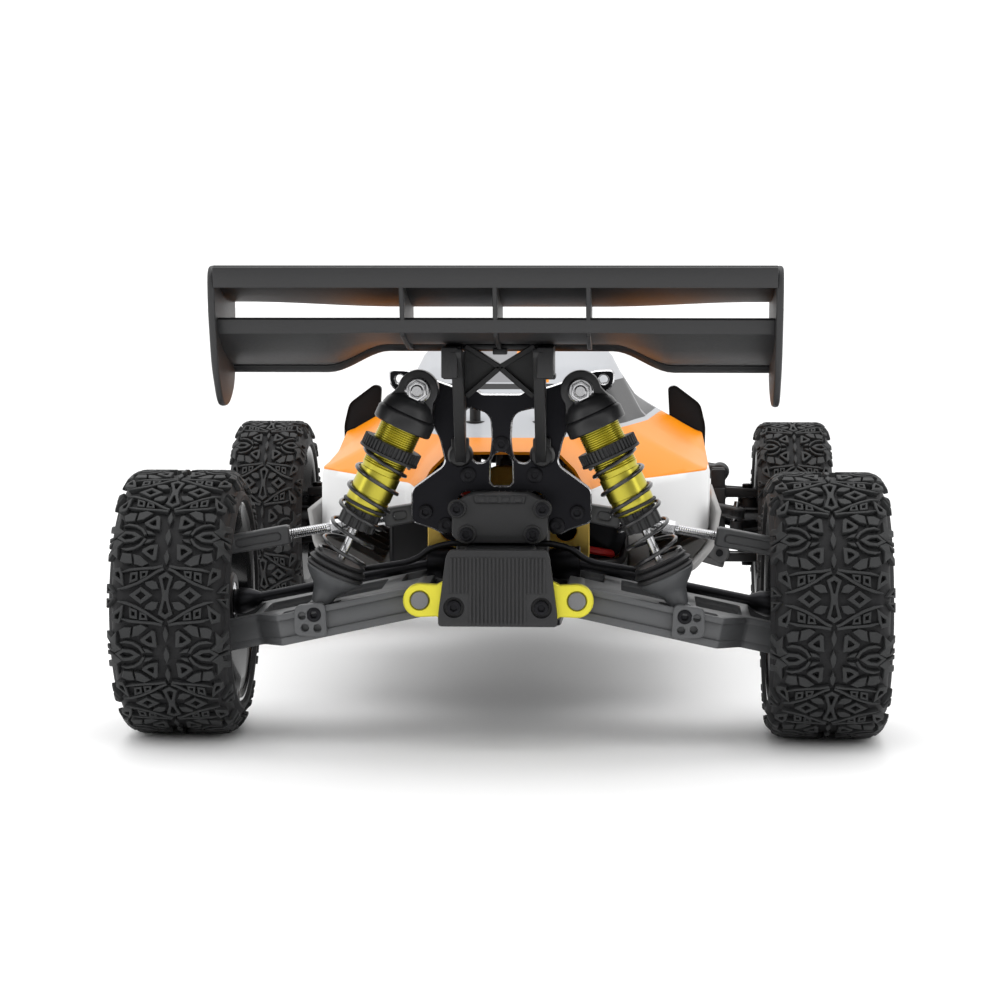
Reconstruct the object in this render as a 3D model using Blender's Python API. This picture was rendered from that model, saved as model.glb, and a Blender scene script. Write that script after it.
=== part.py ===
"""A 1/8 scale four-wheel-drive off-road buggy, as the pieces it comes apart into.

Frame: +Y is the way the buggy drives, +X its right-hand side, +Z up. The origin is on
the ground, midway between the axles. Sizes in this file are in millimetres, and every
mesh is turned into metres when it becomes an object.
"""

import math

import bmesh
import bpy
from mathutils import Matrix, Vector

MM = 0.001
GAP = 0.3  # room between pieces that touch

# Driving dimensions
WHEELBASE = 325.0
OVERALL_WIDTH = 308.0
OVERALL_LENGTH = 490.0
TYRE_RADIUS = 53.6
TYRE_WIDTH = {"rear": 49.0, "front": 39.0}
AXLE = WHEELBASE / 2
CHASSIS_BOTTOM = 50.0
CHASSIS_TOP = 53.0
DIFF_HEIGHT = 70.0
TOWER_FACE = 185.0  # from the middle of the buggy to the tower's outer face
TOWER_THICKNESS = 4.0
SHOCK_PLANE = 201.0  # the shocks hang outside the towers
LINK_PLANE_IN = 189.0
LINK_PLANE_OUT = 178.0
TIE_ROD_PLANE = 143.5
WHEEL_SEGMENTS = 24

# Pivots of one corner, (distance from the centre line, height)
PIVOTS = {
    "rear": {
        "arm": (30.5, 60.8),
        "hub": (117.5, 42.0),
        "link": (30.0, 92.7),
        "link_end": (115.0, 77.5),
        "bone": (27.0, DIFF_HEIGHT),
        "bone_end": (107.5, 53.7),
        "shock": (31.6, 141.9),
        "shock_end": (72.3, 54.3),
    },
    "front": {
        "arm": (30.5, 60.8),
        "hub": (97.0, 41.5),
        "link": (30.0, 90.0),
        "link_end": (98.0, 80.0),
        "bone": (27.0, DIFF_HEIGHT),
        "bone_end": (112.0, 53.6),
        "shock": (30.0, 131.0),
        "shock_end": (66.0, 53.5),
    },
}
KINGPIN = 112.0
TIE_ROD_IN = (32.0, 76.0)
TIE_ROD_OUT = (105.0, 62.0)

COLOURS = {  # colour, roughness, metallic
    "black nylon": ((0.012, 0.012, 0.013), 0.45, 0.0),
    "grey nylon": ((0.085, 0.087, 0.09), 0.5, 0.0),
    "guard nylon": ((0.42, 0.41, 0.4), 0.5, 0.0),
    "wing plastic": ((0.045, 0.045, 0.047), 0.55, 0.0),
    "black anodised": ((0.01, 0.01, 0.012), 0.3, 0.8),
    "gold anodised": ((0.62, 0.5, 0.09), 0.3, 0.9),
    "steel": ((0.6, 0.6, 0.6), 0.25, 1.0),
    "black steel": ((0.03, 0.03, 0.03), 0.35, 0.6),
    "tyre rubber": ((0.012, 0.012, 0.012), 0.75, 0.0),
    "rim plastic": ((0.01, 0.01, 0.01), 0.15, 0.0),
    "painted shell": ((0.93, 0.36, 0.02), 0.2, 0.0),
    "battery case": ((0.05, 0.05, 0.06), 0.4, 0.0),
}


def clear_scene():
    for old in list(bpy.data.objects):
        bpy.data.objects.remove(old)


def material(name):
    """The Principled material of this name, made on its first use."""
    found = bpy.data.materials.get(name)
    if found:
        return found
    colour, roughness, metallic = COLOURS[name]
    made = bpy.data.materials.new(name)
    made.use_nodes = True
    shader = made.node_tree.nodes["Principled BSDF"]
    shader.inputs["Base Color"].default_value = (*colour, 1.0)
    shader.inputs["Roughness"].default_value = roughness
    shader.inputs["Metallic"].default_value = metallic
    return made


# Shapes. Each takes millimetres and gives an object with a closed mesh in metres.


def shape(bm):
    """Closes a bmesh into an object, with its normals out and its round faces smooth."""
    bmesh.ops.remove_doubles(bm, verts=bm.verts, dist=1e-3)
    bmesh.ops.recalc_face_normals(bm, faces=bm.faces)
    bmesh.ops.scale(bm, vec=(MM, MM, MM), verts=bm.verts)
    mesh = bpy.data.meshes.new("shape")
    bm.to_mesh(mesh)
    bm.free()
    mesh.shade_smooth()
    mesh.set_sharp_from_angle(angle=math.radians(35))
    obj = bpy.data.objects.new("shape", mesh)
    bpy.context.scene.collection.objects.link(obj)
    return obj


def block(low, high, bevel=0.0):
    """A box between two corners, given in any order."""
    centre = (Vector(low) + Vector(high)) / 2
    size = Vector(high) - Vector(low)
    bm = bmesh.new()
    bmesh.ops.create_cube(bm, size=1.0)
    bmesh.ops.scale(bm, vec=[abs(side) for side in size], verts=bm.verts)
    bmesh.ops.translate(bm, vec=centre, verts=bm.verts)
    if bevel:
        bmesh.ops.bevel(bm, geom=bm.edges, offset=bevel, segments=1, affect="EDGES")
    return shape(bm)


def turned(profile, start, direction, steps, closed=False):
    """A profile of (distance along, radius) spun about the line from start. A closed
    profile is a ring's section, and an open one begins and ends on the line."""
    bm = bmesh.new()
    points = [bm.verts.new((radius, 0, along)) for along, radius in profile]
    edges = [bm.edges.new(pair) for pair in zip(points, points[1:])]
    if closed:
        edges.append(bm.edges.new((points[-1], points[0])))
    bmesh.ops.spin(
        bm,
        geom=points + edges,
        cent=(0, 0, 0),
        axis=(0, 0, 1),
        angle=2 * math.pi,
        steps=steps,
    )
    turn = Vector((0, 0, 1)).rotation_difference(Vector(direction)).to_matrix().to_4x4()
    place = Matrix.Translation(Vector(start)) @ turn
    bmesh.ops.transform(bm, matrix=place, verts=bm.verts)
    return shape(bm)


def rod(start, end, radius, steps=10):
    along = Vector(end) - Vector(start)
    length = along.length
    profile = [(0, 0), (0, radius), (length, radius), (length, 0)]
    return turned(profile, start, along, steps)


def arc(centre, radius, first, last, points):
    """Points round a centre from one angle to another, in degrees."""
    angles = [first + (last - first) * i / (points - 1) for i in range(points)]
    return [
        (
            centre[0] + radius * math.cos(math.radians(angle)),
            centre[1] + radius * math.sin(math.radians(angle)),
        )
        for angle in angles
    ]


def circle(centre, radius, points=10):
    return arc(centre, radius, 0, 360, points + 1)[:-1]


def extruded(outline, plane, low, high, holes=()):
    """An outline with holes, in the XY, XZ or YZ plane, pushed out from low to high."""
    curve = bpy.data.curves.new("outline", "CURVE")
    curve.dimensions = "2D"
    curve.fill_mode = "BOTH"
    curve.extrude = abs(high - low) / 2
    for points in (outline, *holes):
        spline = curve.splines.new("POLY")
        spline.points.add(len(points) - 1)
        for point, (across, up) in zip(spline.points, points):
            point.co = (across, up, 0, 1)
        spline.use_cyclic_u = True
    guide = bpy.data.objects.new("outline", curve)
    bpy.context.scene.collection.objects.link(guide)
    bpy.context.view_layer.update()
    mesh = guide.to_mesh()
    bm = bmesh.new()
    bm.from_mesh(mesh)
    guide.to_mesh_clear()
    bpy.data.objects.remove(guide)
    columns = {
        "XY": ((1, 0, 0), (0, 1, 0), (0, 0, 1)),
        "XZ": ((1, 0, 0), (0, 0, 1), (0, 1, 0)),
        "YZ": ((0, 1, 0), (0, 0, 1), (1, 0, 0)),
    }[plane]
    turn = Matrix(columns).transposed().to_4x4()
    middle = Vector(columns[2]) * (low + high) / 2
    bmesh.ops.transform(bm, matrix=Matrix.Translation(middle) @ turn, verts=bm.verts)
    return shape(bm)


def mirrored(points):
    """A half outline with x above 0, from bottom to top, and its mirror image."""
    return points + [(-x, y) for x, y in reversed(points)]


# Parts


def frame_empty(name, place, parent=None):
    empty = bpy.data.objects.new(name, None)
    empty.location = Vector(place) * MM
    bpy.context.scene.collection.objects.link(empty)
    if parent:
        keep_place(empty, parent)
    return empty


def keep_place(obj, parent):
    bpy.context.view_layer.update()
    obj.parent = parent
    obj.matrix_parent_inverse = parent.matrix_world.inverted()


def boolean(obj, operation, helpers):
    group = bpy.data.collections.new(f"{obj.name} {operation.lower()}")
    bpy.context.scene.collection.children.link(group)
    for helper in helpers:
        helper.name = f"{obj.name}_{operation.lower()}"
        helper.hide_render = True
        helper.display_type = "WIRE"
        bpy.context.scene.collection.objects.unlink(helper)
        group.objects.link(helper)
    modifier = obj.modifiers.new(operation.title(), "BOOLEAN")
    modifier.operation = operation
    modifier.operand_type = "COLLECTION"
    modifier.collection = group


def part(name, finish, parent, shapes, cuts=()):
    """One piece: its shapes joined, the cuts taken out, in its finish, on its pivot."""
    obj = shapes[0]
    obj.name = name
    obj.data.name = name
    for helper in (*shapes, *cuts):
        helper.data.materials.append(material(finish))
    if len(shapes) > 1:
        boolean(obj, "UNION", shapes[1:])
    if cuts:
        boolean(obj, "DIFFERENCE", cuts)
    keep_place(obj, parent)
    return obj


class Corner:
    """Places for one wheel's suspension: end is rear or front, side is left or right."""

    def __init__(self, end, side):
        self.end = end
        self.side = side
        self.out = 1 if side == "right" else -1
        self.away = 1 if end == "front" else -1
        self.pivots = PIVOTS[end]

    def at(self, x, y, z):
        """A point from its distances to the centre line, to the middle and to the ground."""
        return (self.out * x, self.away * y, z)

    def pivot(self, name, y):
        x, z = self.pivots[name]
        return self.at(x, y, z)

    def name(self, piece):
        return f"{self.end}_{piece}_{self.side}"

    def box(self, low, high, bevel=0.0):
        return block(self.at(*low), self.at(*high), bevel)

    def section(self, points, low, high):
        """An outline seen from behind, pushed along the buggy."""
        outline = [(self.out * x, z) for x, z in points]
        return extruded(outline, "XZ", self.away * low, self.away * high)

    def plan(self, points, low, high):
        """An outline seen from above, pushed up."""
        outline = [(self.out * x, self.away * y) for x, y in points]
        return extruded(outline, "XY", low, high)


ARM_OUTER_FACE = 207.0
ARM_INNER_FACE = 140.0
BARREL_RADIUS = 5.3
ARM_SWEEP = [(86.5, 209), (96.5, 187.5)]  # keeps the arm clear of the tyre


def arm(corner, parent):
    """The lower arm: a moulding with a hinge barrel at each end and open pockets."""
    inner = corner.pivots["arm"]
    outer = corner.pivots["hub"]
    eye = corner.pivots["shock_end"]
    reach = outer[0] - inner[0]
    outline = (
        arc(inner, BARREL_RADIUS, 90, 270, 5)
        + [(inner[0] + 7, inner[1] - 7.0), (eye[0] - 9, eye[1] - 9.5)]
        + [(eye[0] + 9, eye[1] - 10.5)]
        + arc(outer, BARREL_RADIUS, 270, 420, 4)
        + [(outer[0] - 12, outer[1] + 12.5), (eye[0] + 9, eye[1] + 3.5)]
        + [(eye[0] - 9, eye[1] + 5.0), (inner[0] + 5, inner[1] + 4.8)]
    )
    body = corner.section(outline, ARM_INNER_FACE, ARM_OUTER_FACE)
    fork = outer[0] - 20
    open_middle = corner.box((20, 149, 30), (inner[0] + 9.5, 176, 80))
    fork_gap = corner.box((fork, 146, 20), (outer[0] + 20, 180, 80))
    outer_sweep = corner.plan([*ARM_SWEEP, (150, 187.5), (150, 209)], 10, 90)
    shaft_channel = corner.box((eye[0] - 6, 151.5, 50.0), (outer[0] + 20, 173.5, 90))
    shaft_notch = corner.box((inner[0] + 8, 156, 61.5), (inner[0] + 18, 169, 90))
    first_window = corner.box((inner[0] + 16, 150, 20), (eye[0] - 5, 191, 90))
    second_window = corner.box((eye[0] + 3, 150, 20), (inner[0] + reach * 0.66, 184, 90))
    shock_pocket = corner.box((eye[0] - 11, 197.4, eye[1] - 6), (eye[0] + 12, 204.3, 90))
    return part(
        corner.name("lower_arm"),
        "grey nylon",
        parent,
        [body],
        [
            open_middle, fork_gap, outer_sweep, shaft_channel, shaft_notch, first_window,
            second_window, shock_pocket,
        ],
    )


def hub_carrier(corner, parent):
    """The rear hub carrier: a barrel round the axle, a hinge barrel and a link ear."""
    x, z = corner.pivots["hub"]
    link_x, link_z = corner.pivots["link_end"]
    hinge = rod(corner.pivot("hub", 146.6), corner.pivot("hub", 179.4), 4.8)
    barrel = rod(corner.at(109.5, AXLE, TYRE_RADIUS), corner.at(126, AXLE, TYRE_RADIUS), 12.5, 14)
    web = corner.box((x - 4, 152, z - 2), (x + 4.5, 173, z + 8))
    ear = corner.box((link_x - 4, 166, TYRE_RADIUS + 4), (link_x + 4, 174.2, link_z + 4), 0.8)
    bore = rod(corner.at(105, AXLE, TYRE_RADIUS), corner.at(130, AXLE, TYRE_RADIUS), 8.2, 12)
    return part(
        corner.name("hub_carrier"), "black nylon", parent, [barrel, hinge, web, ear], [bore]
    )


def caster_block(corner, parent):
    """The front C-hub, which holds the steering knuckle between its two tabs."""
    x, z = corner.pivots["hub"]
    link_x, link_z = corner.pivots["link_end"]
    hinge = rod(corner.pivot("hub", 146.6), corner.pivot("hub", 179.4), 4.4)
    web = corner.box((x - 2.5, 152, z - 3), (x + 3.5, 173, 74), 0.6)
    low_tab = corner.box((x, 156, 35), (KINGPIN + 5, 169, 39.5), 0.6)
    high_tab = corner.box((x, 156, 68.5), (KINGPIN + 5, 169, 73), 0.6)
    ear = corner.box((link_x - 4, 166, 70), (link_x + 3.5, 174.2, link_z + 3.5), 0.6)
    shaft_hole = rod(corner.at(88, AXLE, 58.2), corner.at(107, AXLE, 54.6), 8.2, 12)
    return part(
        corner.name("caster_block"),
        "black nylon",
        parent,
        [web, hinge, low_tab, high_tab, ear],
        [shaft_hole],
    )


def steering_knuckle(corner, parent):
    """The front knuckle: a barrel between the kingpins, with the steering arm behind."""
    barrel = rod(corner.at(106, AXLE, TYRE_RADIUS), corner.at(125, AXLE, TYRE_RADIUS), 12.2, 14)
    posts = rod(corner.at(KINGPIN, AXLE, 40), corner.at(KINGPIN, AXLE, 68), 5.0, 10)
    arm_x, arm_z = TIE_ROD_OUT
    lever = corner.plan(
        [
            (arm_x - 3.4, TIE_ROD_PLANE - 4.5),
            (arm_x + 4.5, TIE_ROD_PLANE - 4.5),
            (KINGPIN + 6, AXLE - 9),
            (KINGPIN - 2.8, AXLE - 9),
        ],
        arm_z - 8.6,
        arm_z - 4.2,
    )
    bore = rod(corner.at(100, AXLE, TYRE_RADIUS), corner.at(130, AXLE, TYRE_RADIUS), 8.2, 12)
    return part(
        corner.name("steering_knuckle"), "black nylon", parent, [barrel, posts, lever], [bore]
    )


def rod_with_ends(start, end, eye_axis, eye_radius=4.3, eye_thickness=5.6):
    """A turnbuckle: a thin rod between two ball ends with plastic sleeves."""
    start = Vector(start)
    end = Vector(end)
    along = (end - start).normalized()
    half = Vector(eye_axis) * eye_thickness / 2
    sleeve = 15.0
    return [
        rod(start, end, 2.0, 8),
        rod(start - half, start + half, eye_radius),
        rod(end - half, end + half, eye_radius),
        rod(start + along, start + along * sleeve, 2.7, 8),
        rod(end - along, end - along * sleeve, 2.7, 8),
    ]


def camber_link(corner, parent):
    start = corner.pivot("link", LINK_PLANE_IN)
    end = corner.pivot("link_end", LINK_PLANE_OUT)
    return part(
        corner.name("camber_link"), "grey nylon", parent, rod_with_ends(start, end, (0, 1, 0))
    )


def drive_bone(corner, parent):
    """The drive shaft, with a ball in the diff's outdrive and another in the hub."""
    start = Vector(corner.pivot("bone", AXLE))
    end = Vector(corner.pivot("bone_end", AXLE))
    length = (end - start).length
    profile = [
        (-3.6, 0), (-2.6, 2.6), (0, 3.7), (2.6, 2.6), (3.2, 2.05),
        (length - 7, 2.05), (length - 4, 4.6), (length, 5.6),
        (length + 4, 4.0), (length + 4.6, 0),
    ]
    return part(
        corner.name("drive_bone"),
        "black steel",
        parent,
        [turned(profile, start, end - start, 10)],
    )


# Where things sit along a shock, from its top eye
CAP_END = 16.0
COLLAR = (23.4, 28.6)
CARTRIDGE_LENGTH = 8.2
SPRING_RADII = (8.9, 10.3)


def shock_line(corner):
    start = Vector(corner.pivot("shock", SHOCK_PLANE))
    end = Vector(corner.pivot("shock_end", SHOCK_PLANE))
    return start, end, (end - start).length, (end - start).normalized()


def body_length(length):
    """How far the gold body reaches from the top eye, on a shock of this length."""
    return length - 45.0


def shock_body(corner, parent):
    """Cap, threaded body, spring collar and seal cartridge, bored for the shaft."""
    start, _, length, along = shock_line(corner)
    body_end = body_length(length)
    cartridge_end = body_end + CARTRIDGE_LENGTH
    profile = [
        (5.5, 0), (5.5, 7.5), (8.5, 11.8), (CAP_END, 11.8), (CAP_END, 8.35),
        (COLLAR[0], 8.35), (COLLAR[0], 11.95), (COLLAR[1], 11.95), (COLLAR[1], 8.35),
        (body_end, 8.35), (body_end, 7.5), (cartridge_end, 7.5), (cartridge_end, 2.1),
        (body_end - 22, 2.1), (body_end - 22, 0),
    ]
    eye = rod(start - Vector((0, 4, 0)), start + Vector((0, 4, 0)), 7.3, 12)
    return part(
        corner.name("shock_body"),
        "gold anodised",
        parent,
        [turned(profile, start, along, 12), eye],
    )


def shock_shaft(corner, parent):
    """The steel shaft with the spring cup and the lower eye."""
    start, end, length, along = shock_line(corner)
    shaft_top = body_length(length) - 8
    cup_top = length - 23.5
    profile = [
        (shaft_top, 0), (shaft_top, 1.7), (cup_top, 1.7), (cup_top, 10.6),
        (length - 17.6, 11.9), (length - 16.4, 10.6), (length - 10.5, 5.0),
        (length - 6.5, 2.9), (length - 1.5, 2.2), (length - 1.5, 0),
    ]
    eye = rod(end - Vector((0, 3, 0)), end + Vector((0, 3, 0)), 4.6)
    return part(
        corner.name("shock_shaft"),
        "steel",
        parent,
        [turned(profile, start, along, 12), eye],
    )


def spring(corner, parent):
    """The space that the coil spring takes up, from the collar to the cup."""
    start, _, length, along = shock_line(corner)
    top = COLLAR[1] + GAP
    bottom = length - 23.5 - GAP
    inner, outer = SPRING_RADII
    profile = [(top, inner), (top, outer), (bottom, outer), (bottom, inner)]
    return part(
        corner.name("spring"),
        "black steel",
        parent,
        [turned(profile, start, along, 12, closed=True)],
    )


def rim(corner, parent):
    """A dish wheel, open towards the buggy, with its axle stub and nut."""
    width = TYRE_WIDTH[corner.end]
    outer = OVERALL_WIDTH / 2
    inner = outer - width
    profile = [
        (inner + 8, 0), (inner + 8, 6.2), (outer - 13, 6.2), (outer - 6, 15),
        (outer - 7, 35), (outer - 11, 37.8), (inner + 3, 37.8), (inner + 2, 40.2),
        (outer - 2, 40.2), (outer - 2, 38.0), (outer - 4, 36), (outer - 3.4, 13),
        (outer - 7, 8), (outer - 2.5, 5), (outer - 2.5, 0),
    ]
    centre = (0, corner.away * AXLE, TYRE_RADIUS)
    shell = turned(profile, centre, (corner.out, 0, 0), WHEEL_SEGMENTS)
    return part(corner.name("wheel_rim"), "rim plastic", parent, [shell])


def tyre(corner, parent):
    width = TYRE_WIDTH[corner.end]
    outer = OVERALL_WIDTH / 2
    inner = outer - width
    bead = 40.6
    half_section = [(2.4, bead), (0, 46), (2.4, 52), (7.5, TYRE_RADIUS)]
    profile = [(inner + x, radius) for x, radius in half_section]
    profile += [(outer - x, radius) for x, radius in reversed(half_section)]
    centre = (0, corner.away * AXLE, TYRE_RADIUS)
    ring = turned(profile, centre, (corner.out, 0, 0), WHEEL_SEGMENTS, closed=True)
    return part(corner.name("tyre"), "tyre rubber", parent, [ring])


def build_corner(end, side, chassis):
    corner = Corner(end, side)
    hinge = frame_empty(corner.name("arm_hinge"), corner.pivot("arm", AXLE), chassis)
    arm(corner, hinge)
    hub = frame_empty(corner.name("hub_hinge"), corner.pivot("hub", AXLE), hinge)
    if end == "rear":
        hub_carrier(corner, hub)
        wheel_parent = hub
    else:
        caster_block(corner, hub)
        place = corner.at(KINGPIN, AXLE, TYRE_RADIUS)
        wheel_parent = frame_empty(corner.name("kingpin"), place, hub)
        steering_knuckle(corner, wheel_parent)
    place = corner.at(KINGPIN, AXLE, TYRE_RADIUS)
    wheel = frame_empty(corner.name("wheel_axle"), place, wheel_parent)
    rim(corner, wheel)
    tyre(corner, wheel)
    link = frame_empty(corner.name("link_pivot"), corner.pivot("link", LINK_PLANE_IN), chassis)
    camber_link(corner, link)
    bone = frame_empty(corner.name("bone_pivot"), corner.pivot("bone", AXLE), chassis)
    drive_bone(corner, bone)
    eye = frame_empty(corner.name("shock_pivot"), corner.pivot("shock", SHOCK_PLANE), chassis)
    shock_body(corner, eye)
    spring(corner, eye)
    slide = frame_empty(corner.name("shock_slide"), corner.pivot("shock", SHOCK_PLANE), eye)
    shock_shaft(corner, slide)


# Chassis and transmission


def chassis_plate(parent):
    half = [(24, -208.5), (26, -134), (57, -92), (57, 92), (26, 134), (24, 208.5)]
    return part(
        "chassis_plate",
        "black anodised",
        parent,
        [extruded(mirrored(half), "XY", CHASSIS_BOTTOM, CHASSIS_TOP)],
    )


GUARD_SECTION = [
    (50, 53.4), (79, 57.5), (88, 67), (91, 83), (88.6, 83), (85.8, 68.5), (78, 59.8), (50, 55.6)
]


def side_guard(side, parent):
    """A mud guard along one edge of the chassis."""
    out = 1 if side == "right" else -1
    section = [(out * x, z) for x, z in GUARD_SECTION]
    ends = []
    for away in (1, -1):
        corner_cut = [(95 * out, away * 62), (95 * out, away * 100), (60 * out, away * 100)]
        ends.append(extruded(corner_cut, "XY", 40, 100))
    return part(
        f"side_guard_{side}", "guard nylon", parent, [extruded(section, "XZ", -88, 88)], ends
    )


def gearbox_case(end, parent):
    """The diff case between tower and chassis, with its two outdrive cups."""
    away = 1 if end == "front" else -1
    floor = CHASSIS_TOP + GAP
    top = 97.0
    low_top = 81.0
    shapes = [
        block((-18.5, away * 149.5, floor), (18.5, away * 180.6, top), 1.5),
        block((-18.0, away * 134, floor), (18.0, away * 208.6, 60)),
        block((-36, away * 134, 54), (36, away * 138.6, 67), 1.0),
        block((-14, away * 178, floor), (14, away * 208.6, low_top), 1.0),
        rod((-31, away * AXLE, DIFF_HEIGHT), (31, away * AXLE, DIFF_HEIGHT), 6.9, 12),
    ]
    if end == "front":
        shapes.append(block((-37, 208, 54.2), (37, 213, 67.4), 1.0))
    cups = [
        rod((x, away * AXLE, DIFF_HEIGHT), (x + out * 12, away * AXLE, DIFF_HEIGHT), 5.0)
        for out, x in ((1, 22), (-1, -22))
    ]
    return part(f"{end}_gearbox_case", "black nylon", parent, shapes, cups)


TOWER_HALF = [
    (15.5, 100.8), (18.8, 95.0), (19.2, 86.5), (22.5, 83.6), (26, 84.6), (35.6, 88),
    (35.6, 101.8), (22.8, 111.7), (26.5, 124), (41, 140.6), (44.4, 143), (44.4, 149),
    (37, 149), (18, 142.3), (9, 142.3), (9, 139.4),
]
TOWER_WINDOW = [(4.2, 112.5), (14.6, 114.5), (13.0, 134), (3.6, 134)]


def shock_tower(end, parent):
    """The plate that the shocks, the camber links and, at the back, the wing bolt to."""
    away = 1 if end == "front" else -1
    foot = TOWER_HALF[4][1]
    rise = 1.0 if end == "rear" else 0.8
    widen = 1.0 if end == "rear" else 0.95

    def fitted(points):
        return [(x * widen, foot + (z - foot) * rise) for x, z in points]

    window = fitted(TOWER_WINDOW)
    holes = [window, [(-x, z) for x, z in window]]
    plate = extruded(
        mirrored(fitted(TOWER_HALF)),
        "XZ",
        away * (TOWER_FACE - TOWER_THICKNESS),
        away * TOWER_FACE,
        holes,
    )
    shapes = [plate]
    for out in (1, -1):
        x, z = PIVOTS[end]["shock"]
        root = (out * x, away * (TOWER_FACE - 2), z)
        tip = (out * x, away * (SHOCK_PLANE - 4.4), z)
        shapes.append(rod(root, tip, 3.2, 8))
    return part(f"{end}_shock_tower", "black anodised", parent, shapes)


def gearbox_cover(parent):
    """The cap over the back of the rear diff, with four screw bosses in its edge."""
    half = [(19, 81.6), (19, 92), (18.2, 98.5), (12.5, 101.2), (9.5, 101.2), (9.0, 99.6)]
    outline = mirrored(half)
    return part(
        "rear_gearbox_cover", "grey nylon", parent, [extruded(outline, "XZ", -200, -185.4)]
    )


def pin_holder(parent):
    """The anodised plate that holds the back ends of both rear hinge pins."""
    x, z = PIVOTS["rear"]["arm"]
    half = [(8, 53.4), (22, 53.4)] + arc((x, z), 6.6, 270, 450, 7) + [(20, 69), (8, 69)]
    return part(
        "rear_pin_holder", "gold anodised", parent, [extruded(mirrored(half), "XZ", -213.6, -209)]
    )


def skid_bumper(parent):
    """The rear skid and bumper, screwed on over the pin holder."""
    half = [(23.1, 51.2), (19.9, 78.8), (19.0, 81.2)]
    face = extruded(mirrored(half), "XZ", -219, -214)
    return part("rear_skid_bumper", "grey nylon", parent, [face])


def front_bumper(parent):
    """The front bumper: a flat moulding with a turned-up lip."""
    nose = OVERALL_LENGTH / 2
    side_view = [
        (213.6, 51), (232, 51.5), (241, 57), (nose, 68), (nose - 3, 69),
        (238, 60), (230.5, 55.5), (213.6, 55),
    ]
    blade = extruded(side_view, "YZ", -38, 38)
    brace = block((-15, 213.6, 52), (15, 232, 66), 1.5)
    return part("front_bumper", "black nylon", parent, [blade, brace])


WING_BACK = -245.0
WING_FRONT = -188.0
WING_HALF = 107.6


def blade(points, thickness, half_width):
    """A wing plane: its section runs along the points, which go from back to front."""
    top = [(y, z + thickness / 2) for y, z in points]
    bottom = [(y, z - thickness / 2) for y, z in reversed(points)]
    return extruded(top + bottom, "YZ", -half_width, half_width)


def wing(parent):
    """The two-plane wing with its end plates and ribs, moulded in one piece."""
    upper = blade([(WING_BACK, 189.0), (-225, 182), (-204, 176.5), (-190, 175)], 2.4, 105.5)
    lower = blade([(-236, 168.6), (-220, 160), (-205, 155), (-190, 153)], 2.4, 105.5)
    shapes = [upper, lower]
    plate = [
        (WING_BACK, 190.7), (-243.5, 172), (-235, 152), (-220.5, 136),
        (-204, 136), (-190, 143), (WING_FRONT, 160), (WING_FRONT, 184), (-200, 188.5),
    ]
    for out in (1, -1):
        shapes.append(extruded(plate, "YZ", out * (WING_HALF - 2.6), out * WING_HALF))
    rib = [(-236, 168), (-205, 154.5), (-192, 153), (-192, 175.5), (-205, 176.8), (-239, 186.5)]
    for x in (-35, 0, 35):
        shapes.append(extruded(rib, "YZ", x - 1, x + 1))
    return part("wing", "wing plastic", parent, shapes)


def wing_mount(parent):
    """Two side plates from the tower up to the wing, with a cross brace between."""
    side_view = [
        (-185.4, 112), (-191, 112), (-199, 124), (-213, 147), (-222, 155.5),
        (-222, 158.6), (-206, 151.8), (-194, 150.2), (-191, 146), (-190, 121), (-185.4, 120),
    ]
    shapes = [extruded(side_view, "YZ", 13.6, 18.6), extruded(side_view, "YZ", -18.6, -13.6)]
    low, high = 136.0, 149.0
    for out in (1, -1):
        bar = [(out * -15, low), (out * -12, low), (out * 15, high), (out * 12, high)]
        shapes.append(extruded(bar, "XZ", -197, -192))
    shapes.append(block((-15, -197, 143.5), (15, -193, 149.5)))
    return part("wing_mount", "black nylon", parent, shapes)


# Body shell sections: y, then half width and height of the roof, of the shoulder and of
# the flank, then the height of the lower edge
BODY_SECTIONS = [
    (-172, (22, 114), (28, 108), (33, 99), 92),
    (-135, (25, 119), (33, 110), (41, 97), 84),
    (-100, (30, 129), (42, 114), (62, 98), 78),
    (-62, (37, 143), (50, 117), (84, 99), 74),
    (-20, (40, 151), (56, 120), (86, 98), 73),
    (22, (38, 150), (55, 124), (86, 100), 73),
    (56, (33, 140), (56, 124), (85, 108), 74),
    (84, (29, 127), (44, 115), (60, 102), 80),
    (130, (25, 113), (34, 106), (42, 97), 87),
    (177, (19, 105), (26, 100), (32, 93), 87),
]
SHELL_WALL = 1.6


def body_shell(parent):
    """The thin painted body, open underneath and at both ends."""
    bm = bmesh.new()
    rows = []
    for y, roof, shoulder, flank, edge in BODY_SECTIONS:
        half = [(flank[0], edge), flank, shoulder, roof]
        rows.append([bm.verts.new((x, y, z)) for x, z in mirrored(half)])
    for row, following in zip(rows, rows[1:]):
        for i in range(len(row) - 1):
            bm.faces.new((row[i], row[i + 1], following[i + 1], following[i]))
    skin = shape(bm)
    wall = skin.modifiers.new("Wall", "SOLIDIFY")
    wall.thickness = SHELL_WALL * MM
    wall.offset = -1.0
    wall.use_even_offset = True
    return part("body_shell", "painted shell", parent, [skin])


MOTOR_X = 30.5
SHAFT_HEIGHT = 76.0


def battery(parent):
    low = (-54, -78, CHASSIS_TOP + 4.5)
    return part("battery", "battery case", parent, [block(low, (-24, 60, 98), 2.0)])


def motor(parent):
    """The brushless motor's can, lengthways on the right of the centre shaft."""
    profile = [
        (-76, 0), (-76, 15), (-73, 19.5), (-21, 19.5), (-18, 17), (-18, 0),
    ]
    return part(
        "motor", "black steel", parent, [turned(profile, (MOTOR_X, 0, SHAFT_HEIGHT), (0, 1, 0), 14)]
    )


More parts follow.
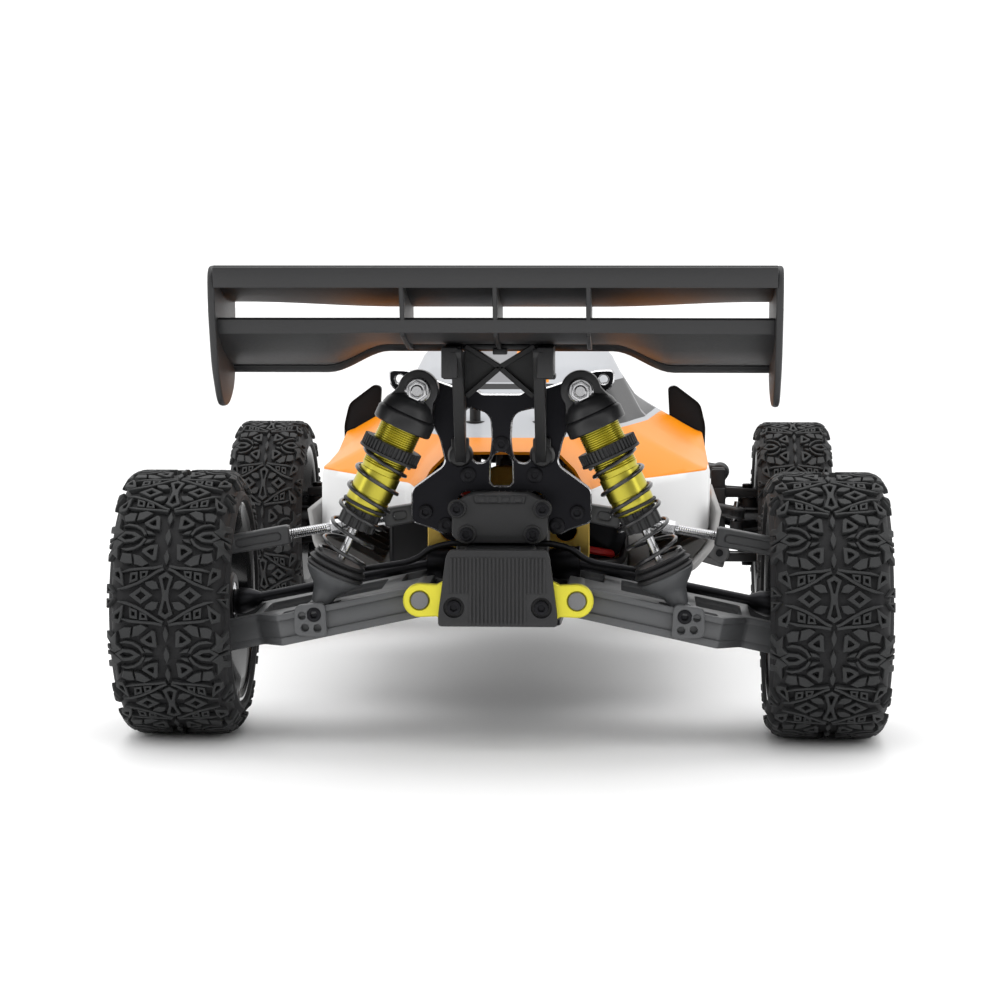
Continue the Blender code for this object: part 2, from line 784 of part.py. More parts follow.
def motor_mount(parent):
    """The gold plate that carries the motor and the centre diff."""
    foot = CHASSIS_TOP + GAP
    outline = [(-20, foot), (49, foot), (49, 92), (40, 98), (-12, 98), (-20, 90)]
    holes = [circle((0, SHAFT_HEIGHT), 13, 12), circle((MOTOR_X, SHAFT_HEIGHT), 6.5, 10)]
    return part(
        "motor_mount", "gold anodised", parent, [extruded(outline, "XZ", -17.5, -12.5, holes)]
    )


SPUR_RADIUS = 22.4
PINION_RADIUS = 7.4


def spur_gear(parent):
    """The spur gear on the centre diff, with the two centre drive shafts."""
    reach = 133.0
    profile = [
        (-reach, 0), (-reach, 2.6), (-24, 2.6), (-22, 10.5), (-7.8, 10.5), (-7.8, SPUR_RADIUS),
        (-1.8, SPUR_RADIUS), (-1.8, 10.5), (18, 10.5), (20, 2.6), (reach, 2.6), (reach, 0),
    ]
    centre = (0, 0, SHAFT_HEIGHT)
    return part("spur_gear", "black steel", parent, [turned(profile, centre, (0, 1, 0), 16)])


def motor_pinion(parent):
    """The pinion on the motor shaft."""
    profile = [
        (-17.4, 0), (-17.4, 2.4), (-11, 2.4), (-11, PINION_RADIUS), (-1, PINION_RADIUS), (-1, 0)
    ]
    centre = (MOTOR_X, 0, SHAFT_HEIGHT)
    return part("motor_pinion", "steel", parent, [turned(profile, centre, (0, 1, 0), 12)])


def steering_link(parent):
    """The link across the buggy that moves both tie rods."""
    _, z = TIE_ROD_IN
    bar = block((-26, TIE_ROD_PLANE - 3, z - 3), (26, TIE_ROD_PLANE + 3, z + 2), 0.8)
    return part("steering_link", "black anodised", parent, [bar])


def tie_rod(side, parent):
    corner = Corner("front", side)
    start = corner.at(TIE_ROD_IN[0], TIE_ROD_PLANE, TIE_ROD_IN[1])
    end = corner.at(TIE_ROD_OUT[0], TIE_ROD_PLANE, TIE_ROD_OUT[1])
    pivot = frame_empty(f"tie_rod_pivot_{side}", start, parent)
    shapes = rod_with_ends(start, end, (0, 0, 1), 4.2, 5.4)
    return part(f"tie_rod_{side}", "grey nylon", pivot, shapes)


def main():
    clear_scene()
    chassis = frame_empty("chassis", (0, 0, 0))
    chassis_plate(chassis)
    for side in ("left", "right"):
        side_guard(side, chassis)
    for end in ("rear", "front"):
        gearbox_case(end, chassis)
        shock_tower(end, chassis)
    gearbox_cover(chassis)
    pin_holder(chassis)
    skid_bumper(chassis)
    front_bumper(chassis)
    wing(chassis)
    wing_mount(chassis)
    body_shell(chassis)
    battery(chassis)
    motor(chassis)
    motor_mount(chassis)
    centre_shaft = frame_empty("centre_shaft", (0, 0, SHAFT_HEIGHT), chassis)
    spur_gear(centre_shaft)
    motor_shaft = frame_empty("motor_shaft", (MOTOR_X, 0, SHAFT_HEIGHT), chassis)
    motor_pinion(motor_shaft)
    link_slide = frame_empty("steering_slide", (0, TIE_ROD_PLANE, TIE_ROD_IN[1]), chassis)
    steering_link(link_slide)
    for side in ("left", "right"):
        tie_rod(side, link_slide)
        for end in ("rear", "front"):
            build_corner(end, side, chassis)


main()
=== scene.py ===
"""A 1/8 scale four-wheel-drive buggy on a pale studio floor: the finish and the fine
shapes of every piece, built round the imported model."""

import math

import bpy
from mathutils import Matrix, Vector


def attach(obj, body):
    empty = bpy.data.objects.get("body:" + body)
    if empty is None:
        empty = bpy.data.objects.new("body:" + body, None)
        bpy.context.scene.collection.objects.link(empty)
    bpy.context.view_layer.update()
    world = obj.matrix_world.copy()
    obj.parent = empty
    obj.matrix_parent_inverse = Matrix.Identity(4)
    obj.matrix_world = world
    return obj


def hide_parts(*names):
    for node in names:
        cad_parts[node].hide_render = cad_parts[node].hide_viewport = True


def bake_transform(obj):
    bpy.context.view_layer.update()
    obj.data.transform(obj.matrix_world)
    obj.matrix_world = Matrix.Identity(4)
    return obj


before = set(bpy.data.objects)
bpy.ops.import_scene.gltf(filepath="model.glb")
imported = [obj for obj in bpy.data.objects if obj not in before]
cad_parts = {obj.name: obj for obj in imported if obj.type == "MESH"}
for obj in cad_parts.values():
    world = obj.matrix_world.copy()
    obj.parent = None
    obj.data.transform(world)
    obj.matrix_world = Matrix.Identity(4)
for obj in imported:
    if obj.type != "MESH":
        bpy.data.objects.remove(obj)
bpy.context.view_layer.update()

# Studio. The camera stands behind the buggy, low, a little to its right, and looks
# slightly down and to the left. A white sweep, a wide soft box overhead and two side
# panels light it, and the room behind the camera is dim, so that dark pieces stay dark.

CAMERA_PLACE = (0.0502, -1.2822, 0.1965)
CAMERA_DOWN = math.radians(5.15)
CAMERA_LEFT = math.radians(2.65)
CAMERA_LENS = 100.2
SENSOR = 36.0

bpy.ops.object.select_all(action="DESELECT")
bpy.ops.object.camera_add(
    location=CAMERA_PLACE, rotation=(math.pi / 2 - CAMERA_DOWN, 0, CAMERA_LEFT)
)
camera = bpy.context.active_object
camera.data.lens = CAMERA_LENS
camera.data.sensor_width = SENSOR
bpy.context.scene.camera = camera


class Signal:
    """A shader socket that takes part in sums, so that maths reads as maths."""

    def __init__(self, tree, socket):
        self.tree = tree
        self.socket = socket

    def maths(self, operation, *values):
        node = self.tree.nodes.new("ShaderNodeMath")
        node.operation = operation
        for plug, value in zip(node.inputs, values):
            connect(self.tree, plug, value)
        return Signal(self.tree, node.outputs[0])

    def __add__(self, other):
        return self.maths("ADD", self, other)

    def __radd__(self, other):
        return self.maths("ADD", other, self)

    def __sub__(self, other):
        return self.maths("SUBTRACT", self, other)

    def __rsub__(self, other):
        return self.maths("SUBTRACT", other, self)

    def __mul__(self, other):
        return self.maths("MULTIPLY", self, other)

    def __rmul__(self, other):
        return self.maths("MULTIPLY", other, self)

    def __truediv__(self, other):
        return self.maths("DIVIDE", self, other)

    def __gt__(self, other):
        return self.maths("GREATER_THAN", self, other)

    def __lt__(self, other):
        return self.maths("LESS_THAN", self, other)

    def __abs__(self):
        return self.maths("ABSOLUTE", self)

    def between(self, low, high):
        """0 up to low, 1 from high, and a straight ramp between them."""
        ramp = (self - low) / (high - low)
        return ramp.maths("MINIMUM", ramp.maths("MAXIMUM", ramp, 0.0), 1.0)


def connect(tree, plug, value):
    if isinstance(value, Signal):
        tree.links.new(value.socket, plug)
    else:
        plug.default_value = value


class Finish:
    """A Principled material and the one method that adds any other node to it."""

    def __init__(self, name, colour, roughness, metallic=0.0, **sockets):
        self.material = bpy.data.materials.new(name)
        self.material.use_nodes = True
        self.tree = self.material.node_tree
        self.shader = self.tree.nodes["Principled BSDF"]
        self.set("Base Color", (*colour, 1.0))
        self.set("Roughness", roughness)
        self.set("Metallic", metallic)
        for socket, value in sockets.items():
            self.set(socket.replace("_", " "), value)

    def set(self, socket, value):
        connect(self.tree, self.shader.inputs[socket], value)

    def node(self, kind, settings=None, sockets=None, output=0):
        node = self.tree.nodes.new("ShaderNode" + kind)
        for setting, value in (settings or {}).items():
            setattr(node, setting, value)
        for socket, value in (sockets or {}).items():
            connect(self.tree, node.inputs[socket], value)
        return Signal(self.tree, node.outputs[output])

    def place(self):
        return self.node("TexCoord", output="Object")

    def noise(self, scale, detail=2.0, stretch=(1, 1, 1)):
        """Noise of about 1 / scale metres, longer along an axis where stretch is small."""
        vector = self.place()
        if stretch != (1, 1, 1):
            vector = self.node("Mapping", sockets={"Vector": vector, "Scale": stretch})
        sockets = {"Vector": vector, "Scale": scale, "Detail": detail}
        return self.node("TexNoise", sockets=sockets)

    def mix(self, share, first, second):
        """The colour first where share is 0, second where it is 1."""
        node = self.tree.nodes.new("ShaderNodeMix")
        node.data_type = "RGBA"
        plugs = {plug.identifier: plug for plug in node.inputs}
        for plug, value in (
            ("Factor_Float", share), ("A_Color", first), ("B_Color", second)
        ):
            if not isinstance(value, (Signal, float)):
                value = (*value, 1.0)
            connect(self.tree, plugs[plug], value)
        outputs = {plug.identifier: plug for plug in node.outputs}
        return Signal(self.tree, outputs["Result_Color"])

    def bump(self, height, strength, distance):
        sockets = {"Height": height, "Strength": strength, "Distance": distance}
        self.set("Normal", self.node("Bump", sockets=sockets))


FLOOR_COLOUR = (0.93, 0.93, 0.93)
floor_finish = Finish("studio floor", FLOOR_COLOUR, 0.55)
floor_finish.set("Roughness", 0.5 + 0.1 * floor_finish.noise(6.0))
bpy.ops.mesh.primitive_plane_add(size=16, location=(0, 0, 0))
floor = bpy.context.active_object
floor.name = "floor"
floor.data.materials.append(floor_finish.material)

world = bpy.data.worlds.new("studio")
world.use_nodes = True
bpy.context.scene.world = world
SKY, DIM_SIDE = 1.3, 0.28
background = world.node_tree.nodes["Background"]
background.inputs["Color"].default_value = (1, 1, 1, 1)
direction = world.node_tree.nodes.new("ShaderNodeTexCoord")
parts_of_direction = world.node_tree.nodes.new("ShaderNodeSeparateXYZ")
world.node_tree.links.new(direction.outputs["Generated"], parts_of_direction.inputs[0])
onward = Signal(world.node_tree, parts_of_direction.outputs[1]).between(-0.45, 0.05)
upward = Signal(world.node_tree, parts_of_direction.outputs[2]).between(0.2, 0.6)
lit = onward.maths("MAXIMUM", onward, upward)
connect(world.node_tree, background.inputs["Strength"], DIM_SIDE + (SKY - DIM_SIDE) * lit)
bpy.context.scene.view_settings.view_transform = "Standard"


def soft_box(place, aim, width, height, power):
    direction = Vector(aim) - Vector(place)
    bpy.ops.object.light_add(
        type="AREA", location=place, rotation=direction.to_track_quat("-Z", "Y").to_euler()
    )
    lamp = bpy.context.active_object.data
    lamp.shape = "RECTANGLE"
    lamp.size = width
    lamp.size_y = height
    lamp.energy = power


soft_box((0, -0.1, 1.3), (0, 0, 0), 1.2, 1.4, 7)
soft_box((-1.3, -0.9, 0.6), (0, -0.1, 0.08), 0.5, 0.9, 3)
soft_box((1.3, -0.9, 0.6), (0, -0.1, 0.08), 0.5, 0.9, 3)

# Chassis: a flat milled alloy plate, black anodised, with bright chamfers where the
# cutter ran round its edge, and countersunk screws up from below. Helpers that cut,
# turn, bend and place metal start here, because this is the first piece made.

MM = 0.001
PLANES = {  # across, up, out
    "XY": ((1, 0, 0), (0, 1, 0), (0, 0, 1)),
    "XZ": ((1, 0, 0), (0, 0, 1), (0, 1, 0)),
    "YZ": ((0, 1, 0), (0, 0, 1), (1, 0, 0)),
}


def settle(name, smooth_up_to=35):
    """Names the active object, puts its place into its mesh, mends it and smooths it."""
    piece = bpy.context.active_object
    bpy.ops.object.transform_apply(location=True, rotation=True, scale=True)
    bpy.ops.object.mode_set(mode="EDIT")
    bpy.ops.mesh.select_all(action="SELECT")
    bpy.ops.mesh.remove_doubles(threshold=1e-6)
    bpy.ops.mesh.normals_make_consistent(inside=False)
    bpy.ops.object.mode_set(mode="OBJECT")
    bpy.ops.object.shade_smooth_by_angle(angle=math.radians(smooth_up_to))
    piece.name = name
    piece.data.name = name
    return piece


def only(piece):
    bpy.ops.object.select_all(action="DESELECT")
    bpy.context.view_layer.objects.active = piece
    piece.select_set(True)


def modified(piece, kind, **settings):
    """Adds a modifier, applies it at once and gives the piece back."""
    only(piece)
    modifier = piece.modifiers.new(kind, kind)
    for setting, value in settings.items():
        setattr(modifier, setting, value)
    bpy.ops.object.modifier_apply(modifier=modifier.name)
    return piece


def area_sign(points):
    following = points[1:] + points[:1]
    return sum(a[0] * b[1] - b[0] * a[1] for a, b in zip(points, following))


def plate(name, outline, plane, low, high, holes=(), chamfer=0.3, rounds=0):
    """Sheet cut to an outline with holes, in millimetres, from low to high, its edges
    chamfered, or rounded where rounds is more than 0."""
    curve = bpy.data.curves.new(name, "CURVE")
    curve.dimensions = "2D"
    curve.fill_mode = "BOTH"
    curve.extrude = (abs(high - low) / 2 - chamfer) * MM
    curve.bevel_depth = chamfer * MM
    curve.bevel_resolution = rounds
    curve.offset = -chamfer * MM
    for loop in (outline, *holes):
        inner = loop is not outline
        if (area_sign(list(loop)) > 0) == inner:
            loop = loop[::-1]
        spline = curve.splines.new("POLY")
        spline.points.add(len(loop) - 1)
        for point, (across, up) in zip(spline.points, loop):
            point.co = (across * MM, up * MM, 0, 1)
        spline.use_cyclic_u = True
    guide = bpy.data.objects.new(name, curve)
    bpy.context.scene.collection.objects.link(guide)
    columns = PLANES[plane]
    turn = Matrix(columns).transposed().to_4x4()
    guide.matrix_world = Matrix.Translation(Vector(columns[2]) * (low + high) / 2 * MM) @ turn
    only(guide)
    bpy.ops.object.convert(target="MESH")
    return settle(name)


def arc(centre, radius, first, last, points):
    """Points round a centre from one angle to another, in degrees."""
    angles = [first + (last - first) * i / (points - 1) for i in range(points)]
    return [
        (
            centre[0] + radius * math.cos(math.radians(angle)),
            centre[1] + radius * math.sin(math.radians(angle)),
        )
        for angle in angles
    ]


def circle(x, y, radius, points=20):
    return arc((x, y), radius, 0, 360, points + 1)[:-1]


def mirrored(points):
    """A half outline from bottom to top at x above 0, and its mirror image."""
    return points + [(-x, y) for x, y in reversed(points)]


def rounded(points, radius, steps=4):
    """An outline with each corner turned into an arc, or less where a side is short."""
    smooth = []
    for before, corner, after in zip(points[-1:] + points[:-1], points, points[1:] + points[:1]):
        corner = Vector(corner)
        back = Vector(before) - corner
        ahead = Vector(after) - corner
        reach = min(radius, 0.45 * back.length, 0.45 * ahead.length)
        start = corner + back.normalized() * reach
        end = corner + ahead.normalized() * reach
        for i in range(steps + 1):
            t = i / steps
            smooth.append(tuple(start * (1 - t) ** 2 + corner * 2 * t * (1 - t) + end * t * t))
    return smooth


def turned(name, profile, start=(0, 0, 0), along=(0, 0, 1), steps=40, closed=False):
    """Turns a profile of (distance, radius), in millimetres, about the line that runs
    from start along a direction. A closed profile is a ring's section."""
    curve = bpy.data.curves.new(name, "CURVE")
    curve.dimensions = "3D"
    spline = curve.splines.new("POLY")
    spline.points.add(len(profile) - 1)
    for point, (distance, radius) in zip(spline.points, profile):
        point.co = (radius * MM, 0, distance * MM, 1)
    spline.use_cyclic_u = closed
    guide = bpy.data.objects.new(name, curve)
    bpy.context.scene.collection.objects.link(guide)
    only(guide)
    bpy.ops.object.convert(target="MESH")
    bpy.ops.object.mode_set(mode="EDIT")
    bpy.ops.mesh.select_all(action="SELECT")
    bpy.ops.mesh.spin(
        steps=steps, angle=2 * math.pi, center=(0, 0, 0), axis=(0, 0, 1), dupli=False
    )
    bpy.ops.object.mode_set(mode="OBJECT")
    turn = Vector((0, 0, 1)).rotation_difference(Vector(along)).to_matrix().to_4x4()
    guide.matrix_world = Matrix.Translation(Vector(start) * MM) @ turn
    return settle(name)


def slab(name, low, high, bevel=0.5, segments=2):
    """A box between two corners with its edges rounded."""
    low, high = Vector(low) * MM, Vector(high) * MM
    size = high - low
    bpy.ops.mesh.primitive_cube_add(size=1, location=(low + high) / 2)
    piece = bpy.context.active_object
    piece.scale = [abs(side) for side in size]
    only(piece)
    bpy.ops.object.transform_apply(location=True, rotation=True, scale=True)
    modified(piece, "BEVEL", width=bevel * MM, segments=segments, limit_method="NONE")
    return settle(name)


def wire(name, points, radius, smooth=True):
    """A round bar or lead through points, with closed ends."""
    curve = bpy.data.curves.new(name, "CURVE")
    curve.dimensions = "3D"
    curve.bevel_depth = radius * MM
    curve.bevel_resolution = 3
    curve.use_fill_caps = True
    curve.resolution_u = 8
    spline = curve.splines.new("NURBS" if smooth else "POLY")
    spline.points.add(len(points) - 1)
    for point, place in zip(spline.points, points):
        point.co = (*(Vector(place) * MM), 1)
    if smooth:
        spline.order_u = 3
        spline.use_endpoint_u = True
    guide = bpy.data.objects.new(name, curve)
    bpy.context.scene.collection.objects.link(guide)
    only(guide)
    bpy.ops.object.convert(target="MESH")
    return settle(name)


def joined(name, pieces):
    """Several made shapes as one piece."""
    only(pieces[0])
    for piece in pieces:
        piece.select_set(True)
    bpy.context.view_layer.objects.active = pieces[0]
    if len(pieces) > 1:
        bpy.ops.object.join()
    pieces[0].name = name
    pieces[0].data.name = name
    return pieces[0]


def copied(piece, name, matrix=None):
    """A copy with its own mesh, moved by a matrix. A mirroring one keeps faces outward."""
    twin = piece.copy()
    twin.data = piece.data.copy()
    twin.name = name
    twin.data.name = name
    bpy.context.scene.collection.objects.link(twin)
    if matrix is not None:
        twin.data.transform(matrix)
        if matrix.determinant() < 0:
            twin.data.flip_normals()
    return twin


MIRROR_X = Matrix.Diagonal((-1, 1, 1, 1))


def aimed(place, direction, spin=0.0):
    """The matrix that takes a shape made at the origin along +Z to a place, in
    millimetres, and turns +Z to a direction."""
    turn = Vector((0, 0, 1)).rotation_difference(Vector(direction)).to_matrix().to_4x4()
    return Matrix.Translation(Vector(place) * MM) @ turn @ Matrix.Rotation(spin, 4, "Z")


def thrown_away(*pieces):
    for piece in pieces:
        bpy.data.objects.remove(piece)


def fitted(piece, body, slot, *finishes, stands_for=()):
    """Gives a finished piece its materials and its body; the slot is not used."""
    if finishes:
        piece.data.materials.clear()
        for finish in finishes:
            piece.data.materials.append(finish.material)
    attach(piece, body)
    if stands_for:
        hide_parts(*stands_for)
    return piece


def paint_faces(piece, index, wanted):
    """Gives the faces that pass a test the material of this index."""
    for face in piece.data.polygons:
        if wanted(face):
            face.material_index = index


def anodised(name, colour, roughness=0.3):
    """Dyed oxide on machined alloy: fine tool grain, and a little cloudiness."""
    finish = Finish(name, colour, roughness, 1.0)
    cloud = finish.noise(60.0)
    grain = finish.noise(900.0, 3.0, (1, 0.15, 1))
    lighter = tuple(min(1.0, 1.35 * c + 0.004) for c in colour)
    finish.set("Base Color", finish.mix(cloud, colour, lighter))
    finish.set("Roughness", roughness - 0.06 + 0.14 * cloud + 0.08 * grain)
    finish.bump(grain, 0.08, 0.0002)
    return finish


def bare_metal(name, colour, roughness=0.2):
    """Cut or ground metal with fine turning marks."""
    finish = Finish(name, colour, roughness, 1.0)
    marks = finish.noise(2200.0, 2.0, (1, 1, 0.2))
    finish.set("Roughness", roughness - 0.05 + 0.16 * marks)
    finish.bump(marks, 0.1, 0.0001)
    return finish


def moulded(name, colour, roughness=0.5, grain=1400.0, depth=0.25):
    """Glass-filled nylon: a spark-eroded grain, flow marks and handling shine."""
    finish = Finish(name, colour, roughness, Specular_IOR_Level=0.45)
    flow = finish.noise(28.0, 3.0)
    spark = finish.noise(grain, 2.0)
    darker = tuple(0.8 * c for c in colour)
    lighter = tuple(1.22 * c for c in colour)
    finish.set("Base Color", finish.mix(flow, darker, lighter))
    finish.set("Roughness", roughness - 0.08 + 0.12 * flow + 0.08 * spark)
    finish.bump(spark, depth, 0.0002)
    return finish


black_alloy = anodised("black anodised", (0.012, 0.012, 0.014), 0.34)
bright_edge = bare_metal("bright cut edge", (0.75, 0.75, 0.76), 0.22)
CHASSIS_SIDE = [(24, -208.5), (26, -134), (57, -92), (57, 92), (26, 134), (24, 208.5)]
CHASSIS_LOW, CHASSIS_HIGH = 50.0, 53.0


def bright_chamfers(piece, axis):
    """Bares the metal on faces that are neither flat on nor square to an axis."""
    def slanted(face):
        return 0.25 < abs(face.normal[axis]) < 0.95
    paint_faces(piece, 1, slanted)


chassis = plate(
    "milled_chassis",
    rounded(mirrored(CHASSIS_SIDE), 6),
    "XY",
    CHASSIS_LOW,
    CHASSIS_HIGH,
    chamfer=0.45,
)
fitted(chassis, "chassis", "black_anodised", black_alloy, bright_edge, stands_for=["chassis_plate"])
bright_chamfers(chassis, 2)

# Screws. M3 socket heads in black oxide steel hold nearly everything: one is modelled
# and copied wherever a piece is bolted on.

HEAD_RADIUS, HEAD_HEIGHT, SOCKET_RADIUS = 2.75, 2.6, 1.45
screw_steel = bare_metal("black oxide steel", (0.02, 0.02, 0.022), 0.36)
chrome = bare_metal("bright steel", (0.5, 0.5, 0.51), 0.2)


def socket_screw(name="screw", radius=HEAD_RADIUS, height=HEAD_HEIGHT, socket=SOCKET_RADIUS):
    """A cap screw's head, standing on the origin, with its hexagon socket."""
    hexagon = circle(0, 0, socket, 6)
    head = plate(name, circle(0, 0, radius, 24), "XY", 0.35 * height, height, [hexagon], 0.25, 1)
    foot = turned(
        name, [(-0.4, 0), (-0.4, radius), (0.36 * height, radius), (0.36 * height, 0)], steps=24
    )
    return joined(name, [head, foot])


def screws(name, body, places, direction, source=None, finish=None):
    """Copies of a screw at places, in millimetres, all facing one way, as one piece."""
    source = source or cap_screw
    copies = [
        copied(source, name, aimed(place, direction, 0.5 * i)) for i, place in enumerate(places)
    ]
    return fitted(joined(name, copies), body, "black_steel", finish or screw_steel)


cap_screw = socket_screw()
flat_screw = socket_screw("countersunk", 3.2, 0.9, 1.1)
chassis_places = [
    (x, y, CHASSIS_LOW + 0.3)
    for y in (-200, -150, -118, -60, 0, 60, 118, 150, 200)
    for x in ((-14, 14) if abs(y) > 100 else (-40, 40))
]
screws("chassis_screws", "chassis", chassis_places, (0, 0, -1), flat_screw)

# Side guards: light grey nylon rails that keep stones out, folded up from the chassis
# edge, with stiffening ribs inside.

guard_nylon = moulded("grey rail nylon", (0.3, 0.295, 0.29), 0.46, 1100.0, 0.15)
GUARD_LENGTH = 88.0
GUARD_SECTION = [
    (50, 53.4), (79, 57.5), (88, 67), (91, 83), (88.6, 83), (85.8, 68.5), (78, 59.8), (50, 55.6)
]
guard = plate(
    "side_rail_right", rounded(GUARD_SECTION, 3), "XZ", -GUARD_LENGTH, GUARD_LENGTH, chamfer=0.5
)
for face_y in (1, -1):
    only(guard)
    bpy.ops.object.mode_set(mode="EDIT")
    bpy.ops.mesh.select_all(action="SELECT")
    bpy.ops.mesh.bisect(
        plane_co=(78 * MM, face_y * 81 * MM, 0),
        plane_no=(1, face_y * 0.95, 0),
        use_fill=True,
        clear_outer=True,
    )
    bpy.ops.object.mode_set(mode="OBJECT")
ribs = [
    plate(
        "rib", [(60, 56.5), (77.5, 59.5), (84.5, 68.5), (82, 70), (60, 58.5)], "XZ", y - 0.8,
        y + 0.8, chamfer=0.2
    )
    for y in range(-60, 61, 20)
]
guard = joined("side_rail_right", [guard, *ribs])
other_guard = copied(guard, "side_rail_left", MIRROR_X)
fitted(guard, "chassis", "guard_nylon", guard_nylon, stands_for=["side_guard_right"])
fitted(other_guard, "chassis", "guard_nylon", guard_nylon, stands_for=["side_guard_left"])

# Gearboxes: black moulded cases round each diff. The rear one is closed by a grey cap
# held with four screws and cast teeth along its top edge.

black_nylon = moulded("black nylon", (0.008, 0.008, 0.009), 0.46)
grey_nylon = moulded("grey nylon", (0.016, 0.016, 0.017), 0.5)
AXLE = 162.5
DIFF_HEIGHT = 70.0


def gearbox(end, away):
    floor_height = 53.3
    case = [
        slab("case", (-18.4, away * 149.6, floor_height), (18.4, away * 180.4, 96.8), 3, 4),
        slab("case", (-13.8, away * 178, floor_height), (13.8, away * 208.4, 80.8), 2, 3),
        slab("case", (-17.8, away * 134.2, floor_height), (17.8, away * 208.4, 59.8), 1),
        slab("case", (-35.8, away * 134.2, 54.2), (35.8, away * 138.4, 66.8), 1.6, 3),
        turned("case", [(-15, 0), (-15, 17), (-13, 18.8), (13, 18.8), (15, 17), (15, 0)],
               (0, away * 163.5, DIFF_HEIGHT + 1), (0, 1, 0)),
    ]
    if end == "front":
        case.append(slab("case", (-36.8, 208.2, 54.4), (36.8, 212.8, 67.2), 1.6, 3))
    case = joined(f"{end}_diff_case", case)
    fitted(case, "chassis", "black_nylon", black_nylon, stands_for=[f"{end}_gearbox_case"])
    cups = []
    for out in (1, -1):
        cup = [(0, 0), (0, 5.4), (4.5, 6.9), (12.6, 6.9), (12.9, 6.6), (12.9, 5.0), (5, 4.9), (5, 0)]
        cups.append(turned("cup", cup, (out * 18, away * AXLE, DIFF_HEIGHT), (out, 0, 0), 32))
    fitted(joined(f"{end}_outdrives", cups), "chassis", "black_steel", screw_steel)


gearbox("rear", -1)
gearbox("front", 1)

COVER_FACE = -200.0
COVER_TOP = 101.0
NOTCHES = (-7.2, -2.4, 2.4, 7.2)
half_cover = [(15.2, 81.8), (18.8, 84.5), (18.8, 92.5), (17.8, 96.5), (15.6, 98.8), (11.5, COVER_TOP)]
cover = plate(
    "diff_cap", rounded(mirrored(half_cover), 1.5), "XZ", COVER_FACE, -185.4, chamfer=0.7, rounds=1
)
rim_lip = plate(
    "diff_cap_lip",
    [(-10.5, COVER_TOP - 0.4), (-9.7, COVER_TOP - 3.4), (9.7, COVER_TOP - 3.4), (10.5, COVER_TOP - 0.4)],
    "XZ",
    COVER_FACE - 0.9,
    COVER_FACE + 1,
    chamfer=0.3,
)
teeth = [
    slab(
        "tooth", (x - 1.5, COVER_FACE - 1.3, COVER_TOP - 3.0),
        (x + 1.5, COVER_FACE, COVER_TOP - 0.9), 0.3
    )
    for x in NOTCHES
]
COVER_SCREWS = [(17.0, 95.4), (13.2, 85.4), (-13.2, 85.4), (-17.0, 95.4)]
bosses = [
    turned(
        "boss", [(0, 0), (0, 3.7), (-0.9, 3.7), (-1.2, 3.4), (-1.2, 0)],
        (x * 0.985, COVER_FACE + 0.2, z), (0, 1, 0), 28
    )
    for x, z in COVER_SCREWS
]
cover = joined("diff_cap", [cover, rim_lip, *teeth, *bosses])
fitted(cover, "chassis", "grey_nylon", grey_nylon, stands_for=["rear_gearbox_cover"])
screws(
    "diff_cap_screws", "chassis",
    [(x * 0.985, COVER_FACE - 0.7, z) for x, z in COVER_SCREWS], (0, -1, 0),
)

# Rear skid: a thick grey moulding with fine upright grooves across its face, screwed
# through two counterbores to the plate that carries the hinge pins.

SKID_FACE = -219.0
SKID_SCREWS = [(16.9, 58.7), (-16.9, 58.7)]
half_skid = [(23.0, 51.3), (23.0, 56), (20.0, 78.6), (18.6, 81.0)]
skid = plate(
    "skid_block", rounded(mirrored(half_skid), 1.2, 2), "XZ", SKID_FACE + 0.6, -214.1,
    [circle(x, z, 3.95, 24) for x, z in SKID_SCREWS], chamfer=0.5, rounds=1,
)
GROOVE_PITCH = 1.5
slats = []
for i in range(-12, 13):
    x = i * GROOVE_PITCH
    low = 64.2 if abs(x) > 11 else 52.4
    reach = 78.2 if abs(x) < 18.5 else 74
    slats.append(
        slab("slat", (x - 0.5, SKID_FACE + 0.05, low), (x + 0.5, SKID_FACE + 1.0, reach), 0.18, 1)
    )
floor_of_bore = [
    turned("washer", [(0, 0), (0, 4.0), (1.0, 4.0), (1.0, 0)], (x, -216.2, z), (0, 1, 0), 24)
    for x, z in SKID_SCREWS
]
skid = joined("skid_block", [skid, *slats, *floor_of_bore])
fitted(skid, "chassis", "grey_nylon", grey_nylon, stands_for=["rear_skid_bumper"])
screws("skid_screws", "chassis", [(x, -216.3, z) for x, z in SKID_SCREWS], (0, -1, 0))

# Hinge-pin plate: yellow anodised alloy with a round ear each side. A grey bush in the
# ear holds the end of the steel hinge pin.

yellow_alloy = anodised("yellow anodised", (0.66, 0.6, 0.06), 0.4)
ARM_PIN = (30.5, 60.8)
ear = arc(ARM_PIN, 6.5, 270, 450, 14)
half_holder = [(8, 53.5), (22, 53.5), (24, 54.6), *ear, (24, 66.9), (20, 69), (8, 69)]
pin_plate = plate(
    "hinge_pin_plate", mirrored(half_holder), "XZ", -213.7, -208.8,
    [circle(ARM_PIN[0], ARM_PIN[1], 3.6), circle(-ARM_PIN[0], ARM_PIN[1], 3.6)], chamfer=0.5,
)
fitted(pin_plate, "chassis", "gold_anodised", yellow_alloy, stands_for=["rear_pin_holder"])
bush_nylon = moulded("bush nylon", (0.16, 0.16, 0.165), 0.4)
bushes = []
for away in (1, -1):
    for out in (1, -1):
        place = (out * ARM_PIN[0], away * 213.9, ARM_PIN[1])
        ring = [(0, 0), (0, 3.2), (0.5, 3.5), (5.0, 3.5), (5.0, 0)]
        bushes.append(turned("bush", ring, place, (0, -away, 0), 28))
fitted(joined("hinge_pin_bushes", bushes), "chassis", "grey_nylon", bush_nylon)
pins = []
